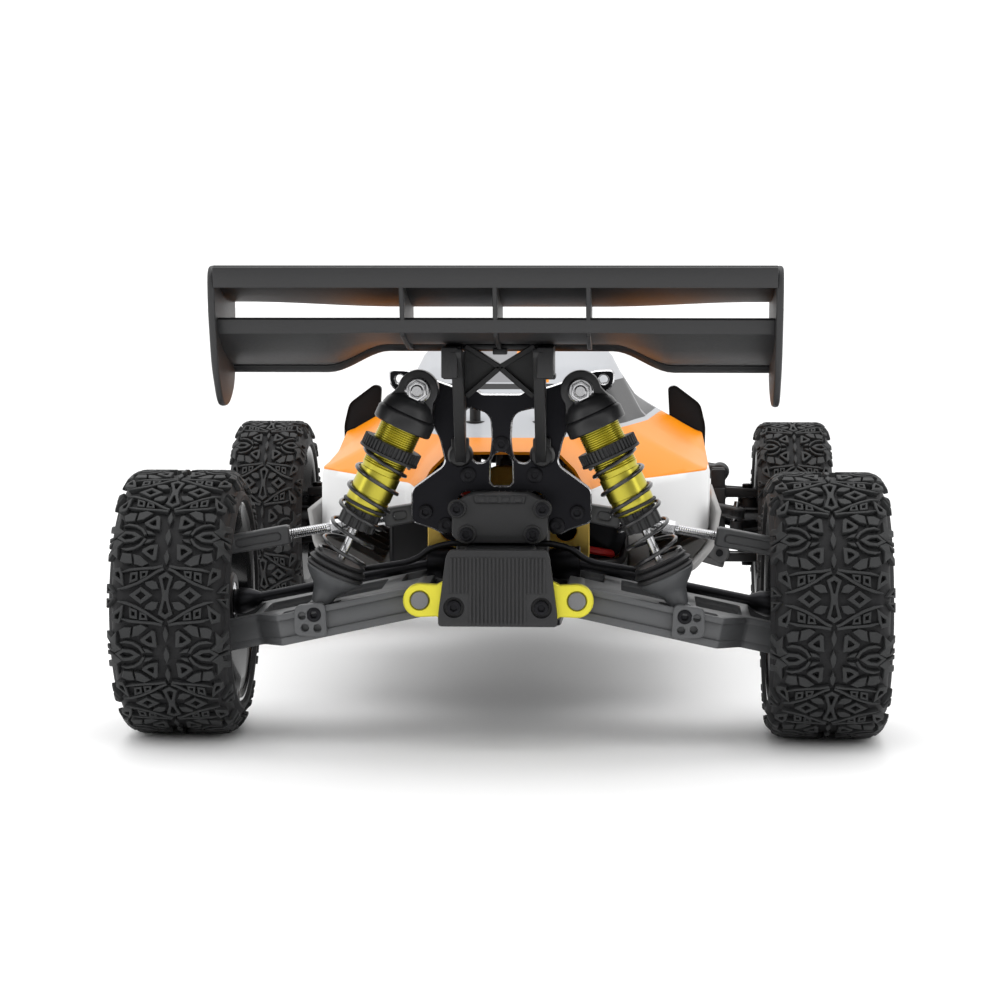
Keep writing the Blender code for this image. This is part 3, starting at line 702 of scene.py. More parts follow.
for away in (1, -1):
    for out in (1, -1):
        place = (out * ARM_PIN[0], away * 133, ARM_PIN[1])
        pins.append(turned("pin", [(0, 0), (0, 1.95), (76, 1.95), (76, 0)], place, (0, away, 0), 16))
fitted(joined("inner_hinge_pins", pins), "chassis", "bright_steel", chrome)

# Shock towers: 4 mm plates of black anodised alloy, with a bright chamfer round every
# edge. The rear one also carries the wing mount; the front one is lower and narrower.

TOWER_FACE, TOWER_THICKNESS = 185.0, 4.0
TOWER_HALF = [
    (15.5, 100.8), (19.2, 94.6), (18.0, 90.5), (18.3, 86.2), (20.2, 84.0), (23.6, 83.7),
    (26.5, 85.6), (34.6, 88.2), (35.8, 89.6), (35.8, 100.9), (34.8, 102.6), (23.4, 110.9),
    (22.5, 113), (24.6, 122), (28.5, 129.5), (36.8, 137.0), (43.3, 142), (44.6, 144.4),
    (44.6, 148.2), (43.2, 149.2), (37, 149), (18, 142.3), (9.4, 141.2), (7.8, 139.6),
]
TOWER_WINDOW = [
    (5.4, 113.6), (7.6, 112.2), (10.4, 112.4), (12.4, 115.0), (14.2, 119.0), (14.8, 124.0),
    (14.7, 131.4), (13.4, 134.0), (6.6, 132.4), (4.4, 129.8), (3.9, 122.0), (4.4, 116.4),
]
CENTRE_SLOT = [
    (4.4, 104.6), (4.2, 113.0), *arc((0, 112.6), 4.0, 10, 170, 9), (-4.2, 113.0), (-4.4, 104.6),
    (-3.0, 103.2), (3.0, 103.2)
]
SPARE_HOLES = [(40.3, 145.4), (27.2, 136.2), (34.0, 140.9)]
TOWER_SCREWS = [(22.0, 87.4), (13.2, 107.5)]
TOWER_FOOT = 84.6
SHAPES = {"rear": (1.0, 1.0), "front": (0.95, 0.8)}  # how wide and how high, of the rear


def tower_place(end, x, z):
    widen, rise = SHAPES[end]
    return x * widen, TOWER_FOOT + (z - TOWER_FOOT) * rise


def shock_tower(end, away):
    half = [tower_place(end, *point) for point in TOWER_HALF]
    window = rounded([tower_place(end, *point) for point in TOWER_WINDOW], 1.5, 2)
    holes = [window, [(-x, z) for x, z in window]]
    holes.append([tower_place(end, *point) for point in CENTRE_SLOT])
    for place in SPARE_HOLES[: 3 if end == "front" else 1]:
        x, z = tower_place(end, *place)
        holes += [circle(x, z, 1.7, 16), circle(-x, z, 1.7, 16)]
    low, high = sorted((away * (TOWER_FACE - TOWER_THICKNESS), away * TOWER_FACE))
    plate_piece = plate(
        f"{end}_tower_plate", rounded(mirrored(half), 1.6, 2), "XZ", low, high, holes, 0.55
    )
    fitted(
        plate_piece, "chassis", "black_anodised", black_alloy, bright_edge,
        stands_for=[f"{end}_shock_tower"],
    )
    bright_chamfers(plate_piece, 1)
    places = []
    for x, z in TOWER_SCREWS:
        x, z = tower_place(end, x, z)
        places += [(x, away * TOWER_FACE, z), (-x, away * TOWER_FACE, z)]
    places.append((0, away * TOWER_FACE, tower_place(end, 0, 119.7)[1]))
    screws(f"{end}_tower_screws", "chassis", places, (0, away, 0), thin_screw)
    shock_x, shock_z = {"rear": (31.6, 141.9), "front": (30.0, 131.0)}[end]
    posts = []
    for out in (1, -1):
        post = [
            (-3, 0), (-3, 3.4), (-0.2, 3.4), (0, 4.6), (2.4, 4.6), (2.6, 3.2), (11, 3.2),
            (11.4, 3.0), (11.4, 0)
        ]
        posts.append(turned("post", post, (out * shock_x, away * TOWER_FACE, shock_z), (0, away, 0), 24))
        nut = plate("nut", circle(0, 0, 3.1, 6), "XZ", 178.0, 181.0, chamfer=0.3)
        nut.data.transform(Matrix.Translation(Vector((out * shock_x, (away - 1) * 179.5, shock_z)) * MM))
        posts.append(nut)
    fitted(joined(f"{end}_shock_posts", posts), "chassis", "bright_steel", chrome)


thin_screw = socket_screw("button_screw", 3.1, 1.3, 1.35)
shock_tower("rear", -1)
shock_tower("front", 1)

# Wing mount: one black nylon moulding on the rear tower. Two ribbed posts rise and lean
# back to the wing, and a cross brace with sunk webs ties them together.

POST_OUT = 15.75
BRACE_FACE = -199.0
CROSSING = (0.0, 150.6)
post_side = [
    (-184.9, 111.8), (-190.6, 111.8), (-194.5, 118), (-199.0, 124.5), (-213, 147), (-222, 155.8),
    (-222, 158.8), (-206, 157.2), (-190.5, 156.0), (-189.6, 146), (-189.2, 121), (-184.9, 120),
]
foot_ball = [(-190.8, 0), (-191.4, 2.4), (-190.8, 4.0), (-189.4, 4.9), (-185.2, 5.1), (-185.2, 0)]
mount_parts = []
for out in (1, -1):
    post = plate(
        "post", rounded(post_side, 1.5, 2), "YZ", POST_OUT - 2.1, POST_OUT + 2.1, chamfer=0.4,
        rounds=1
    )
    sleeve = slab("sleeve", (15.2, -222.0, 147.3), (21.4, -191.0, 159.2), 0.7)
    collar = slab("collar", (14.8, -205.1, 146.2), (21.8, -190.6, 148.2), 0.5)
    ball = turned("foot", foot_ball, (16.2, 0, 115.6), (0, 1, 0), 24)
    neck = slab("neck", (12.6, -190.6, 116.5), (19.6, -186.0, 122.5), 0.8)
    for made in (post, sleeve, collar, ball, neck):
        if out < 0:
            made.data.transform(MIRROR_X)
            made.data.flip_normals()
        mount_parts.append(made)


def leaning(points, low, high):
    """A piece of the brace: an outline in X and Z, pushed between two depths."""
    return plate("brace", points, "XZ", low, high, chamfer=0.25)


def arm_of_brace(start, end, width):
    """One straight arm of the cross, as an outline of constant width."""
    start, end = Vector(start), Vector(end)
    side = (end - start).normalized().orthogonal() * width / 2
    return [tuple(start + side), tuple(end + side), tuple(end - side), tuple(start - side)]


for out in (1, -1):
    mount_parts += [
        leaning(arm_of_brace(CROSSING, (out * 13.2, 139.2), 2.2), BRACE_FACE, BRACE_FACE + 7),
        leaning(arm_of_brace(CROSSING, (out * 13.6, 158.9), 2.2), BRACE_FACE, BRACE_FACE + 7),
        leaning(
            [(out * 1.2, 150.6), (out * 14.2, 138.4), (out * 14.2, 158.9)],
            BRACE_FACE + 3.2,
            BRACE_FACE + 4.6,
        ),
    ]
mount_parts.append(slab("top_bar", (-15, BRACE_FACE + 1, 157.4), (15, BRACE_FACE + 7, 159.4), 0.4))
mount_parts.append(slab("tab", (-2.8, BRACE_FACE - 0.4, 155.6), (2.8, BRACE_FACE + 5, 158.0), 0.4))
mount = joined("wing_posts", mount_parts)
fitted(mount, "chassis", "black_nylon", black_nylon, stands_for=["wing_mount"])

# Wing: charcoal nylon in one moulding. Two planes run between rounded end plates, the
# lower one dips outboard of the mount, and three thin ribs join the planes.

wing_nylon = moulded("wing nylon", (0.019, 0.019, 0.02), 0.46, 900.0, 0.12)
WING_HALF = 107.6
UPPER_PLANE = [
    (-245.0, 189.6), (-241.5, 187.9), (-232, 183.6), (-222, 180.2), (-208, 177.0), (-196, 175.4),
    (-190, 175.2)
]
LOWER_RAISED = [
    (-236.4, 170.4), (-234.8, 166.2), (-222, 163.0), (-208, 161.4), (-196, 160.7), (-190, 160.9)
]
LOWER_DROPPED = [
    (-236.4, 170.4), (-234.8, 165.6), (-222, 159.0), (-208, 154.8), (-196, 152.7), (-190, 152.5)
]
RAMP = (44.0, 68.0)


def plane_skin(name, stations, thickness):
    """A wing plane lofted across stations, each (x, section from back to front)."""
    bpy.ops.mesh.primitive_grid_add(
        x_subdivisions=len(stations) - 1, y_subdivisions=len(stations[0][1]) - 1, size=1
    )
    piece = bpy.context.active_object
    only(piece)
    rows = len(stations[0][1])
    columns = len(stations)
    order = sorted(range(len(piece.data.vertices)), key=lambda i: (
        round(piece.data.vertices[i].co.x, 5), round(piece.data.vertices[i].co.y, 5)
    ))
    for at, index in enumerate(order):
        x, section = stations[at // rows]
        y, z = section[at % rows]
        piece.data.vertices[index].co = Vector((x, y, z)) * MM
    assert len(order) == rows * columns
    modified(piece, "SOLIDIFY", thickness=thickness * MM, offset=0.0, use_even_offset=True)
    modified(piece, "BEVEL", width=0.45 * MM, segments=2, limit_method="ANGLE", angle_limit=1.0)
    return settle(name, 40)


def ease(t):
    t = min(1.0, max(0.0, t))
    return t * t * (3 - 2 * t)


upper_stations = []
for i in range(25):
    x = (WING_HALF - 2.2) * (i / 12 - 1)
    droop = 1.9 * ease((abs(x) - 40) / 60)
    upper_stations.append((x, [
        (y, z + droop * ease((y + 225) / 30)) for y, z in UPPER_PLANE
    ]))
lower_stations = []
across = sorted({
    *(round((WING_HALF - 2.2) * (i / 10 - 1), 3) for i in range(21)),
    *(side * (RAMP[0] + (RAMP[1] - RAMP[0]) * i / 10) for i in range(11) for side in (1, -1)),
})
for x in across:
    share = ease((abs(x) - RAMP[0]) / (RAMP[1] - RAMP[0]))
    lower_stations.append((x, [
        (y, raised + (dropped - raised) * share)
        for (y, raised), (_, dropped) in zip(LOWER_RAISED, LOWER_DROPPED)
    ]))
upper = plane_skin("upper_plane", upper_stations, 2.4)
lower = plane_skin("lower_plane", lower_stations, 2.4)
lip_stations = []
for x, section in lower_stations:
    front = section[-1]
    lip_stations.append(
        (x, [(-193.5, front[1] - 0.8), (-190.5, front[1] - 3.2), (-187.6, front[1] - 3.4)])
    )
lip = plane_skin("lower_lip", lip_stations, 2.0)
back_lip = plane_skin(
    "upper_lip", [(x, [(-245.4, 189.9), (-244.0, 182.2)]) for x, _ in upper_stations], 1.6
)
END_PLATE = [
    (-245, 190.7), (-244.2, 175), (-236, 152), (-221.5, 136.4), (-205, 136), (-190.5, 143),
    (-188, 160), (-188, 184), (-200, 188.8),
]
wing_parts = [upper, lower, lip, back_lip]
for out in (1, -1):
    end_plate = plate(
        "end_plate", rounded(END_PLATE, 7, 5), "YZ", out * (WING_HALF - 2.8), out * WING_HALF,
        chamfer=1.1, rounds=2,
    ) if out > 0 else copied(wing_parts[-1], "end_plate", MIRROR_X)
    wing_parts.append(end_plate)
RIB = [
    (-243.6, 185.0), (-243.0, 182.4), (-239.5, 176), (-236.6, 167.5), (-234, 163.6), (-205, 158.0),
    (-192, 157.2), (-192, 176), (-206, 177.5), (-232, 184.2),
]
for x in (-35, 0, 35):
    wing_parts.append(plate("rib", rounded(RIB, 1.2, 2), "YZ", x - 0.9, x + 0.9, chamfer=0.3))
wing_piece = joined("rear_wing", wing_parts)
fitted(wing_piece, "chassis", "wing_plastic", wing_nylon, stands_for=["wing"])

# Lower arms: grey glass-filled nylon mouldings on steel hinge pins. Each is a ladder of
# flanges and webs seen from above, forked at the hub, with a four-hole shock boss.

AWAY = {"rear": -1, "front": 1}
PIVOTS = {  # (distance from the centre line, height)
    "rear": {
        "arm": (30.5, 60.8), "hub": (117.5, 42.0), "link": (30.0, 92.7), "link_end": (115.0, 77.5),
        "bone": (27.0, 70.0), "bone_end": (107.5, 53.7), "shock": (31.6, 141.9),
        "shock_end": (72.3, 54.3),
    },
    "front": {
        "arm": (30.5, 60.8), "hub": (97.0, 41.5), "link": (30.0, 90.0), "link_end": (98.0, 80.0),
        "bone": (27.0, 70.0), "bone_end": (112.0, 53.6), "shock": (30.0, 131.0),
        "shock_end": (66.0, 53.5),
    },
}
arm_nylon = moulded("arm nylon", (0.082, 0.084, 0.087), 0.4, 1000.0, 0.22)


def both_sides(piece, name, body, slot, *finishes, node=None, paint=None):
    """Fits a piece made for the right-hand side, and its mirror image on the left."""
    for side in ("left", "right"):
        if side == "left":
            twin = copied(piece, f"{name}_left", MIRROR_X)
        else:
            twin = piece
            twin.name = f"{name}_right"
        nodes = [f"{node}_{side}"] if node else []
        fitted(twin, f"{body}_{side}" if body != "chassis" else body, slot, *finishes, stands_for=nodes)
        if paint:
            paint(twin)


def leaned(piece, start, end):
    """Turns a shape made flat, along +X from the origin, to lie from start to end."""
    along = Vector((end[0] - start[0], 0, end[1] - start[1])).normalized()
    turn = Vector((1, 0, 0)).rotation_difference(along).to_matrix().to_4x4()
    piece.data.transform(Matrix.Translation(Vector((start[0], 0, start[1])) * MM) @ turn)
    return piece


def lower_arm(end):
    away = AWAY[end]
    pivots = PIVOTS[end]
    inner, outer, eye = pivots["arm"], pivots["hub"], pivots["shock_end"]
    stretch = math.dist(inner, outer) / (outer[0] - inner[0])
    fork, tip = outer[0] - 19.4, outer[0] + 4

    def plan(points):
        flat = [((x - inner[0]) * stretch, away * y) for x, y in points]
        return flat

    outline = [
        (26, 140.3), (tip - 4, 140.5), (tip, 142), (tip, 146.1), (fork, 146.1), (fork, 180.3),
        (tip, 180.3), (tip, 186.4), (min(tip, 96.4) - 0.2, 187.4), (86.4, 206.9), (26, 206.9),
        (26, 176.6), (39.6, 176.6), (39.6, 149.2), (26, 149.2),
    ]
    slim = [
        (x, 205.7 if y > 206 else y) if y > 150 else (x, y + (1.0 if y < 141 else 0)) for x, y in outline
    ]
    first_window = [(46.5, 153), (eye[0] - 7, 153), (eye[0] - 7, 189), (46.5, 189)]
    pocket = [(eye[0] - 11, 197.3), (eye[0] + 12, 197.3), (eye[0] + 12, 204.5), (eye[0] - 11, 204.5)]
    windows = [first_window, pocket]
    if fork - eye[0] > 16:
        windows.append([(eye[0] + 4, 153), (fork - 3.5, 153), (fork - 3.5, 184), (eye[0] + 4, 187)])
    windows = [rounded(plan(window), 2.0, 3) for window in windows]
    parts = []
    for shape, low, high in ((outline, 2.6, 5.0), (slim, -4.4, 2.8), (outline, -7.2, -4.2)):
        parts.append(
            plate("arm", rounded(plan(shape), 1.5, 2), "XY", low, high, windows, chamfer=0.35, rounds=1)
        )
    for x in (45, 57):
        parts.append(
            slab(
                "rib", ((x - 30.5) * stretch, away * 190, -6),
                ((x - 29.3) * stretch, away * 205, 4.4), 0.3
            )
        )
    for part in parts:
        leaned(part, inner, outer)
    for x, z in (inner, outer):
        spans = ((140.2, 149.2), (176.6, 207.2)) if (x, z) == inner else ((140.4, 146.2), (180.2, 187.4))
        for low, high in spans:
            barrel = [
                (0, 0), (0, 4.7), (0.6, 5.3), (high - low - 0.6, 5.3), (high - low, 4.7),
                (high - low, 0)
            ]
            parts.append(turned("barrel", barrel, (x, away * low, z), (0, away, 0), 28))
    boss_x, boss_z = eye[0] + 1.1, eye[1] - 2.2
    boss_half = [(-6.4, -6.6), (6.6, -6.0), (6.6, 5.6), (-5.4, 7.0)]
    boss = [(boss_x + x, boss_z + z) for x, z in boss_half]
    holes = [(2.4, -3.0, 1.55), (-2.5, -3.2, 1.55), (3.6, 1.7, 1.55)]
    cut = [circle(boss_x + x, boss_z + z, radius, 16) for x, z, radius in holes]
    cut.append(circle(*eye, 2.75, 24))
    front_face, back_face = sorted((away * 204.4, away * 208.4))
    parts.append(plate("boss", rounded(boss, 2.6, 5), "XZ", front_face, back_face, cut, 0.5, 1))
    for x, z, radius in holes:
        floor_disc = [(0, 0), (0, radius + 0.2), (0.4, radius + 0.2), (0.4, 0)]
        parts.append(
            turned("hole_floor", floor_disc, (boss_x + x, away * 204.8, boss_z + z), (0, away, 0), 16)
        )
    arm_piece = joined(f"{end}_arm", parts)
    both_sides(
        arm_piece, f"{end}_arm_moulding", f"{end}_arm", "grey_nylon", arm_nylon,
        node=f"{end}_lower_arm"
    )
    metal = [copied(cap_screw, "screw", aimed((eye[0], away * 205.9, eye[1]), (0, away, 0)))]
    pin = [(0, 0), (0, 1.9), (50, 1.9), (50, 0)]
    metal.append(turned("pin", pin, (outer[0], away * 139.2, outer[1]), (0, away, 0), 16))
    collar = [(0, 0), (0, 3.0), (1.6, 3.0), (1.6, 0)]
    metal.append(turned("pin_head", collar, (outer[0], away * 187.6, outer[1]), (0, away, 0), 20))
    both_sides(joined("arm_metal", metal), f"{end}_arm_screws", f"{end}_arm", "black_steel", screw_steel)


lower_arm("rear")
lower_arm("front")

# Hubs: black nylon. The rear carriers and the front C-blocks swing on the outer hinge
# pins; the front knuckles turn in the C-blocks on two kingpin screws.

BEARING = [(0, 8.0), (0, 5.2), (0.6, 4.9), (1.0, 5.4), (1.0, 7.2), (0.6, 7.9)]


def hub_barrel(low, high, away, radius=12.4):
    """A ribbed barrel round the axle, bored for ball bearings made apart from it."""
    length = high - low
    ring = [(0, 8.1), (0, radius - 1.4), (1, radius - 0.4), (3.4, radius - 0.4), (4, radius - 2.4),
            (length - 4, radius - 2.4), (length - 3.4, radius), (length - 0.8, radius),
            (length, radius - 0.8), (length, 8.1)]
    start = (low, away * AXLE, 53.6)
    barrel = turned("barrel", ring, start, (1, 0, 0), 40, closed=True)
    ribs = [
        slab("rib", (low + 3.4, -0.7, 8.4), (high - 3.4, 0.7, radius - 0.4), 0.2) for _ in range(10)
    ]
    for i, rib in enumerate(ribs):
        turn = Matrix.Rotation(i * math.pi / 5, 4, "X")
        rib.data.transform(Matrix.Translation(Vector((0, away * AXLE, 53.6)) * MM) @ turn)
    return joined("barrel", [barrel, *ribs])


def bearings(low, high, away):
    made = []
    for x, out in ((low + 0.3, 1), (high - 0.3, -1)):
        made.append(turned("bearing", BEARING, (x, away * AXLE, 53.6), (out, 0, 0), 32, closed=True))
    return joined("bearings", made)


def hinge_barrel(pivot, away):
    ring = [(0, 0), (0, 4.2), (0.5, 4.8), (32.3, 4.8), (32.8, 4.2), (32.8, 0)]
    return turned("hinge", ring, (pivot[0], away * 146.7, pivot[1]), (0, away, 0), 24)


hub_x, hub_z = PIVOTS["rear"]["hub"]
ear_x = PIVOTS["rear"]["link_end"][0]
carrier_side = [(-4.2, -2), (4.6, -2), (6.0, 8), (6.0, 14), (-6.0, 14), (-5.0, 6)]
carrier = joined("carrier", [
    hub_barrel(109.6, 125.9, -1),
    hinge_barrel((hub_x, hub_z), -1),
    plate("web", [(hub_x + x, hub_z + z) for x, z in carrier_side], "XZ", -172.8, -152.2, chamfer=0.5),
    plate(
        "ear",
        rounded([(111.2, 58), (118.8, 58), (118.8, 80.5), (111.2, 80.5)], 3, 4),
        "XZ", -174, -166.2, [circle(ear_x, z, 1.5, 14) for z in (70.6, 77.5)], chamfer=0.5, rounds=1,
    ),
    plate("gusset", [(-166.5, 64), (-166.5, 76), (-158, 65)], "YZ", 113.8, 116.2, chamfer=0.3),
])
both_sides(carrier, "rear_hub_moulding", "rear_hub", "black_nylon", black_nylon, node="rear_hub_carrier")
both_sides(bearings(109.6, 125.9, -1), "rear_hub_bearings", "rear_hub", "bright_steel", chrome)

KINGPIN = 112.0
block_x, block_z = PIVOTS["front"]["hub"]
c_shape = [
    (block_x - 2.4, 38.6), (block_x, 35.1), (KINGPIN + 4.8, 35.1), (KINGPIN + 4.8, 39.4),
    (block_x + 3.4, 39.6), (block_x + 3.4, 68.6), (KINGPIN + 4.8, 68.6), (KINGPIN + 4.8, 72.9),
    (block_x + 3.2, 73.9), (block_x + 3.4, 83.2), (block_x - 3.8, 83.2), (block_x - 4.0, 72),
    (block_x - 2.4, 66),
]
window = [(92, 49), (103, 49), (103, 66), (92, 66)]
c_block = joined("c_block", [
    plate("c_arm", rounded(c_shape, 1.2, 2), "XZ", 156.1, 158.9, chamfer=0.4, rounds=1),
    plate("c_arm", rounded(c_shape, 1.2, 2), "XZ", 166.1, 168.9, chamfer=0.4, rounds=1),
    slab("tab", (block_x + 1, 158, 35.2), (KINGPIN + 4.6, 167, 39.2), 0.6),
    slab("tab", (block_x + 1, 158, 68.8), (KINGPIN + 4.6, 167, 72.8), 0.6),
    slab("web", (block_x - 2.3, 152.4, 38.5), (block_x + 3.2, 156.4, 73.6), 0.6),
    slab("web", (block_x - 2.3, 168.6, 38.5), (block_x + 3.2, 172.8, 73.6), 0.6),
    hinge_barrel((block_x, block_z), 1),
])
both_sides(c_block, "front_c_block", "front_hub", "black_nylon", black_nylon, node="front_caster_block")
pins = []
for z, up in ((35.4, -1), (72.6, 1)):
    pins.append(copied(cap_screw, "kingpin", aimed((KINGPIN, AXLE, z), (0, 0, up))))
both_sides(joined("kingpins", pins), "kingpin_screws", "front_hub", "black_steel", screw_steel)

lever = [
    (102.0, 139.2), (105, 137.9), (108.4, 139.2), (110, 144), (KINGPIN + 5.6, 153.4), (
        KINGPIN - 2.4, 153.4
    ),
    (103.0, 147.6),
]
knuckle = joined("knuckle", [
    hub_barrel(106.2, 124.8, 1, 12.0),
    turned(
        "post", [(0, 0), (0, 4.9), (2, 5.0), (26, 5.0), (28, 4.9), (28, 0)], (KINGPIN, AXLE, 40),
        (0, 0, 1), 24
    ),
    plate(
        "lever", rounded(lever, 2, 3), "XY", 53.5, 57.7, [circle(105, 143.5, 1.5, 14)], chamfer=0.5,
        rounds=1
    ),
])
both_sides(
    knuckle, "front_knuckle_moulding", "front_knuckle", "black_nylon", black_nylon,
    node="front_steering_knuckle"
)
both_sides(bearings(106.2, 124.8, 1), "front_knuckle_bearings", "front_knuckle", "bright_steel", chrome)

# Camber links and tie rods: a bright steel turnbuckle with a hexagon and two grooves,
# screwed into a flat grey rod end at each side. A steel ball sits in each rod end.

rod_end_nylon = moulded("rod end nylon", (0.045, 0.046, 0.048), 0.42, 1100.0, 0.15)


def turnbuckle(length, outer_sleeve, inner_sleeve):
    """The steel and the nylon of a link that runs up +Z from the origin."""
    middle = (inner_sleeve + length - outer_sleeve) / 2
    thread = []
    steps = int((length - outer_sleeve - inner_sleeve + 8) / 0.45)
    for i in range(steps):
        thread.append((inner_sleeve - 4 + i * 0.45, 1.75 if i % 2 else 1.95))
    smooth = [
        (middle - 7.6, 1.9), (middle - 7.4, 2.35), (middle - 5.4, 2.35), (middle - 5.2, 1.8),
        (middle - 4.4, 1.8), (middle - 4.2, 2.35), (middle - 3.0, 2.35), (middle - 2.8, 1.9),
    ]
    profile = [(0, 0)] + [p for p in thread if p[0] < middle - 7.8] + smooth
    profile += [p for p in thread if p[0] > middle + 3.4] + [(length, 1.9), (length, 0)]
    metal = [turned("rod", profile, steps=24)]
    metal.append(plate("hexagon", circle(0, 0, 2.9, 6), "XY", middle - 2.4, middle + 2.8, chamfer=0.35))
    for z in (0, length):
        ball = [(-2.6, 0), (-2.6, 1.7), (-2.1, 2.6), (0, 3.3), (2.1, 2.6), (2.6, 1.7), (2.6, 0)]
        metal.append(turned("ball", ball, (0, 0, z), (0, 1, 0), 24))
        metal.append(
            turned("stud", [(-5.6, 0), (-5.6, 1.6), (5.6, 1.6), (5.6, 0)], (0, 0, z), (0, 1, 0), 16)
        )
    nylon = []
    for z, up, sleeve in ((0, 1, inner_sleeve), (length, -1, outer_sleeve)):
        outline = [(3.3, -sleeve), (3.9, -sleeve + 1.2), (3.7, -6.5), *arc((0, 0), 4.9, -40, 90, 8)]
        whole = [(x, z + up * -y) for x, y in mirrored(outline)]
        slot = [(-1.5, -sleeve + 4), (1.5, -sleeve + 4), (1.5, -8.5), (-1.5, -8.5)]
        slot = [(x, z + up * -y) for x, y in rounded(slot, 1.4, 3)]
        eye_hole = circle(0, z, 3.0, 20)
        nylon.append(plate("rod_end", whole, "XZ", -3.0, 3.0, [slot, eye_hole], chamfer=0.9, rounds=2))
        nylon.append(plate("web", whole, "XZ", -1.9, 1.9, [eye_hole], chamfer=0.3))
        nylon.append(
            turned(
                "socket", [(-2.8, 3.2), (-2.8, 4.6), (2.8, 4.6), (2.8, 3.2)], (0, 0, z), (0, 1, 0),
                28, closed=True
            )
        )
    return joined("steel", metal), joined("nylon", nylon)


def link(name, body, node, start, end, sleeves, roll=0.0):
    length = math.dist(start, end)
    matrix = aimed(start, Vector(end) - Vector(start)) @ Matrix.Rotation(roll, 4, "Z")
    steel, nylon = turnbuckle(length, *sleeves)
    for shape in (steel, nylon):
        shape.data.transform(matrix)
    both_sides(nylon, f"{name}_rod_ends", body, "grey_nylon", rod_end_nylon, node=node)
    both_sides(steel, f"{name}_turnbuckle", body, "bright_steel", chrome)


# The rear links' inner ends sit behind the tower, on the same hinge lines.
LINK_DEPTH = {"rear": 177.5, "front": 189.0}
for end in ("rear", "front"):
    start = (PIVOTS[end]["link"][0], AWAY[end] * LINK_DEPTH[end], PIVOTS[end]["link"][1])
    finish = (PIVOTS[end]["link_end"][0], AWAY[end] * 178, PIVOTS[end]["link_end"][1])
    sleeves = (30.5, 17.5) if end == "rear" else (20, 15)
    link(f"{end}_camber_link", f"{end}_link", f"{end}_camber_link", start, finish, sleeves)
link("tie_rod", "tie_rod", "tie_rod", (32, 143.5, 76), (105, 143.5, 62), (20, 15), math.pi / 2)
places = []
for out in (1, -1):
    places.append((out * PIVOTS["rear"]["link"][0], -TOWER_FACE, PIVOTS["rear"]["link"][1]))
screws("rear_link_screws", "chassis", places, (0, -1, 0))

# Drive shafts: black oxide dogbones. Each one's inner ball sits in the diff's outdrive,
# and its outer end turns the wheel through a joint inside the hub.

for end in ("rear", "front"):
    start = Vector((PIVOTS[end]["bone"][0], AWAY[end] * AXLE, PIVOTS[end]["bone"][1]))
    finish = Vector((PIVOTS[end]["bone_end"][0], AWAY[end] * AXLE, PIVOTS[end]["bone_end"][1]))
    length = (finish - start).length
    profile = [
        (-3.4, 0), (-3.2, 1.5), (-2.2, 2.9), (0, 3.6), (2.2, 2.9), (3.2, 2.1), (4.4, 2.05),
        (length - 9, 2.05), (length - 7.6, 3.0), (length - 5, 4.4), (length - 1, 5.3),
        (length + 2.4, 5.0), (length + 4.2, 3.6), (length + 4.4, 0),
    ]
    shaft = turned("shaft", profile, start, finish - start, 28)
    cross = turned("pin", [(-4.6, 0), (-4.6, 1.2), (4.6, 1.2), (4.6, 0)], start, (0, 1, 0), 12)
    both_sides(
        joined("bone", [shaft, cross]), f"{end}_dogbone", f"{end}_bone", "black_steel", screw_steel,
        node=f"{end}_drive_bone",
    )

# Shocks: a black cap and a yellow anodised body, threaded for the spring collar, on the
# chassis side. A steel shaft and a rubber-booted cup hang from it on the arm.

spring_black = Finish("spring enamel", (0.012, 0.012, 0.013), 0.28, 0.0, Coat_Weight=0.4)
spring_black.bump(spring_black.noise(500.0), 0.06, 0.0002)
gold_body = anodised("olive gold anodised", (0.4, 0.355, 0.045), 0.27)
cap_black = moulded("cap black", (0.011, 0.011, 0.012), 0.36, 900.0, 0.1)
boot_rubber = moulded("boot rubber", (0.014, 0.014, 0.015), 0.5, 700.0, 0.2)
bowl_nylon = moulded("bowl nylon", (0.055, 0.057, 0.06), 0.42)
COLLAR_TOP, COLLAR_END = 23.2, 28.6
EYE_THICKNESS = 8.0


def thread_profile(start, end, radius, pitch=0.85, depth=0.42):
    points = []
    for i in range(int((end - start) / pitch)):
        at = start + i * pitch
        points += [(at, radius - depth), (at + 0.3 * pitch, radius), (at + 0.6 * pitch, radius)]
    return points


def cog(name, teeth, outer, inner, low, high, share=0.5, holes=(), chamfer=0.15):
    """A disc with teeth round its edge, along +Z."""
    outline = []
    for i in range(teeth):
        turn = 360 * i / teeth
        for radius, step in ((inner, 0.0), (outer, 0.14), (outer, share), (inner, share + 0.14)):
            angle = math.radians(turn + 360 * step / teeth)
            outline.append((radius * math.cos(angle), radius * math.sin(angle)))
    return plate(name, outline, "XY", low, high, holes, chamfer)


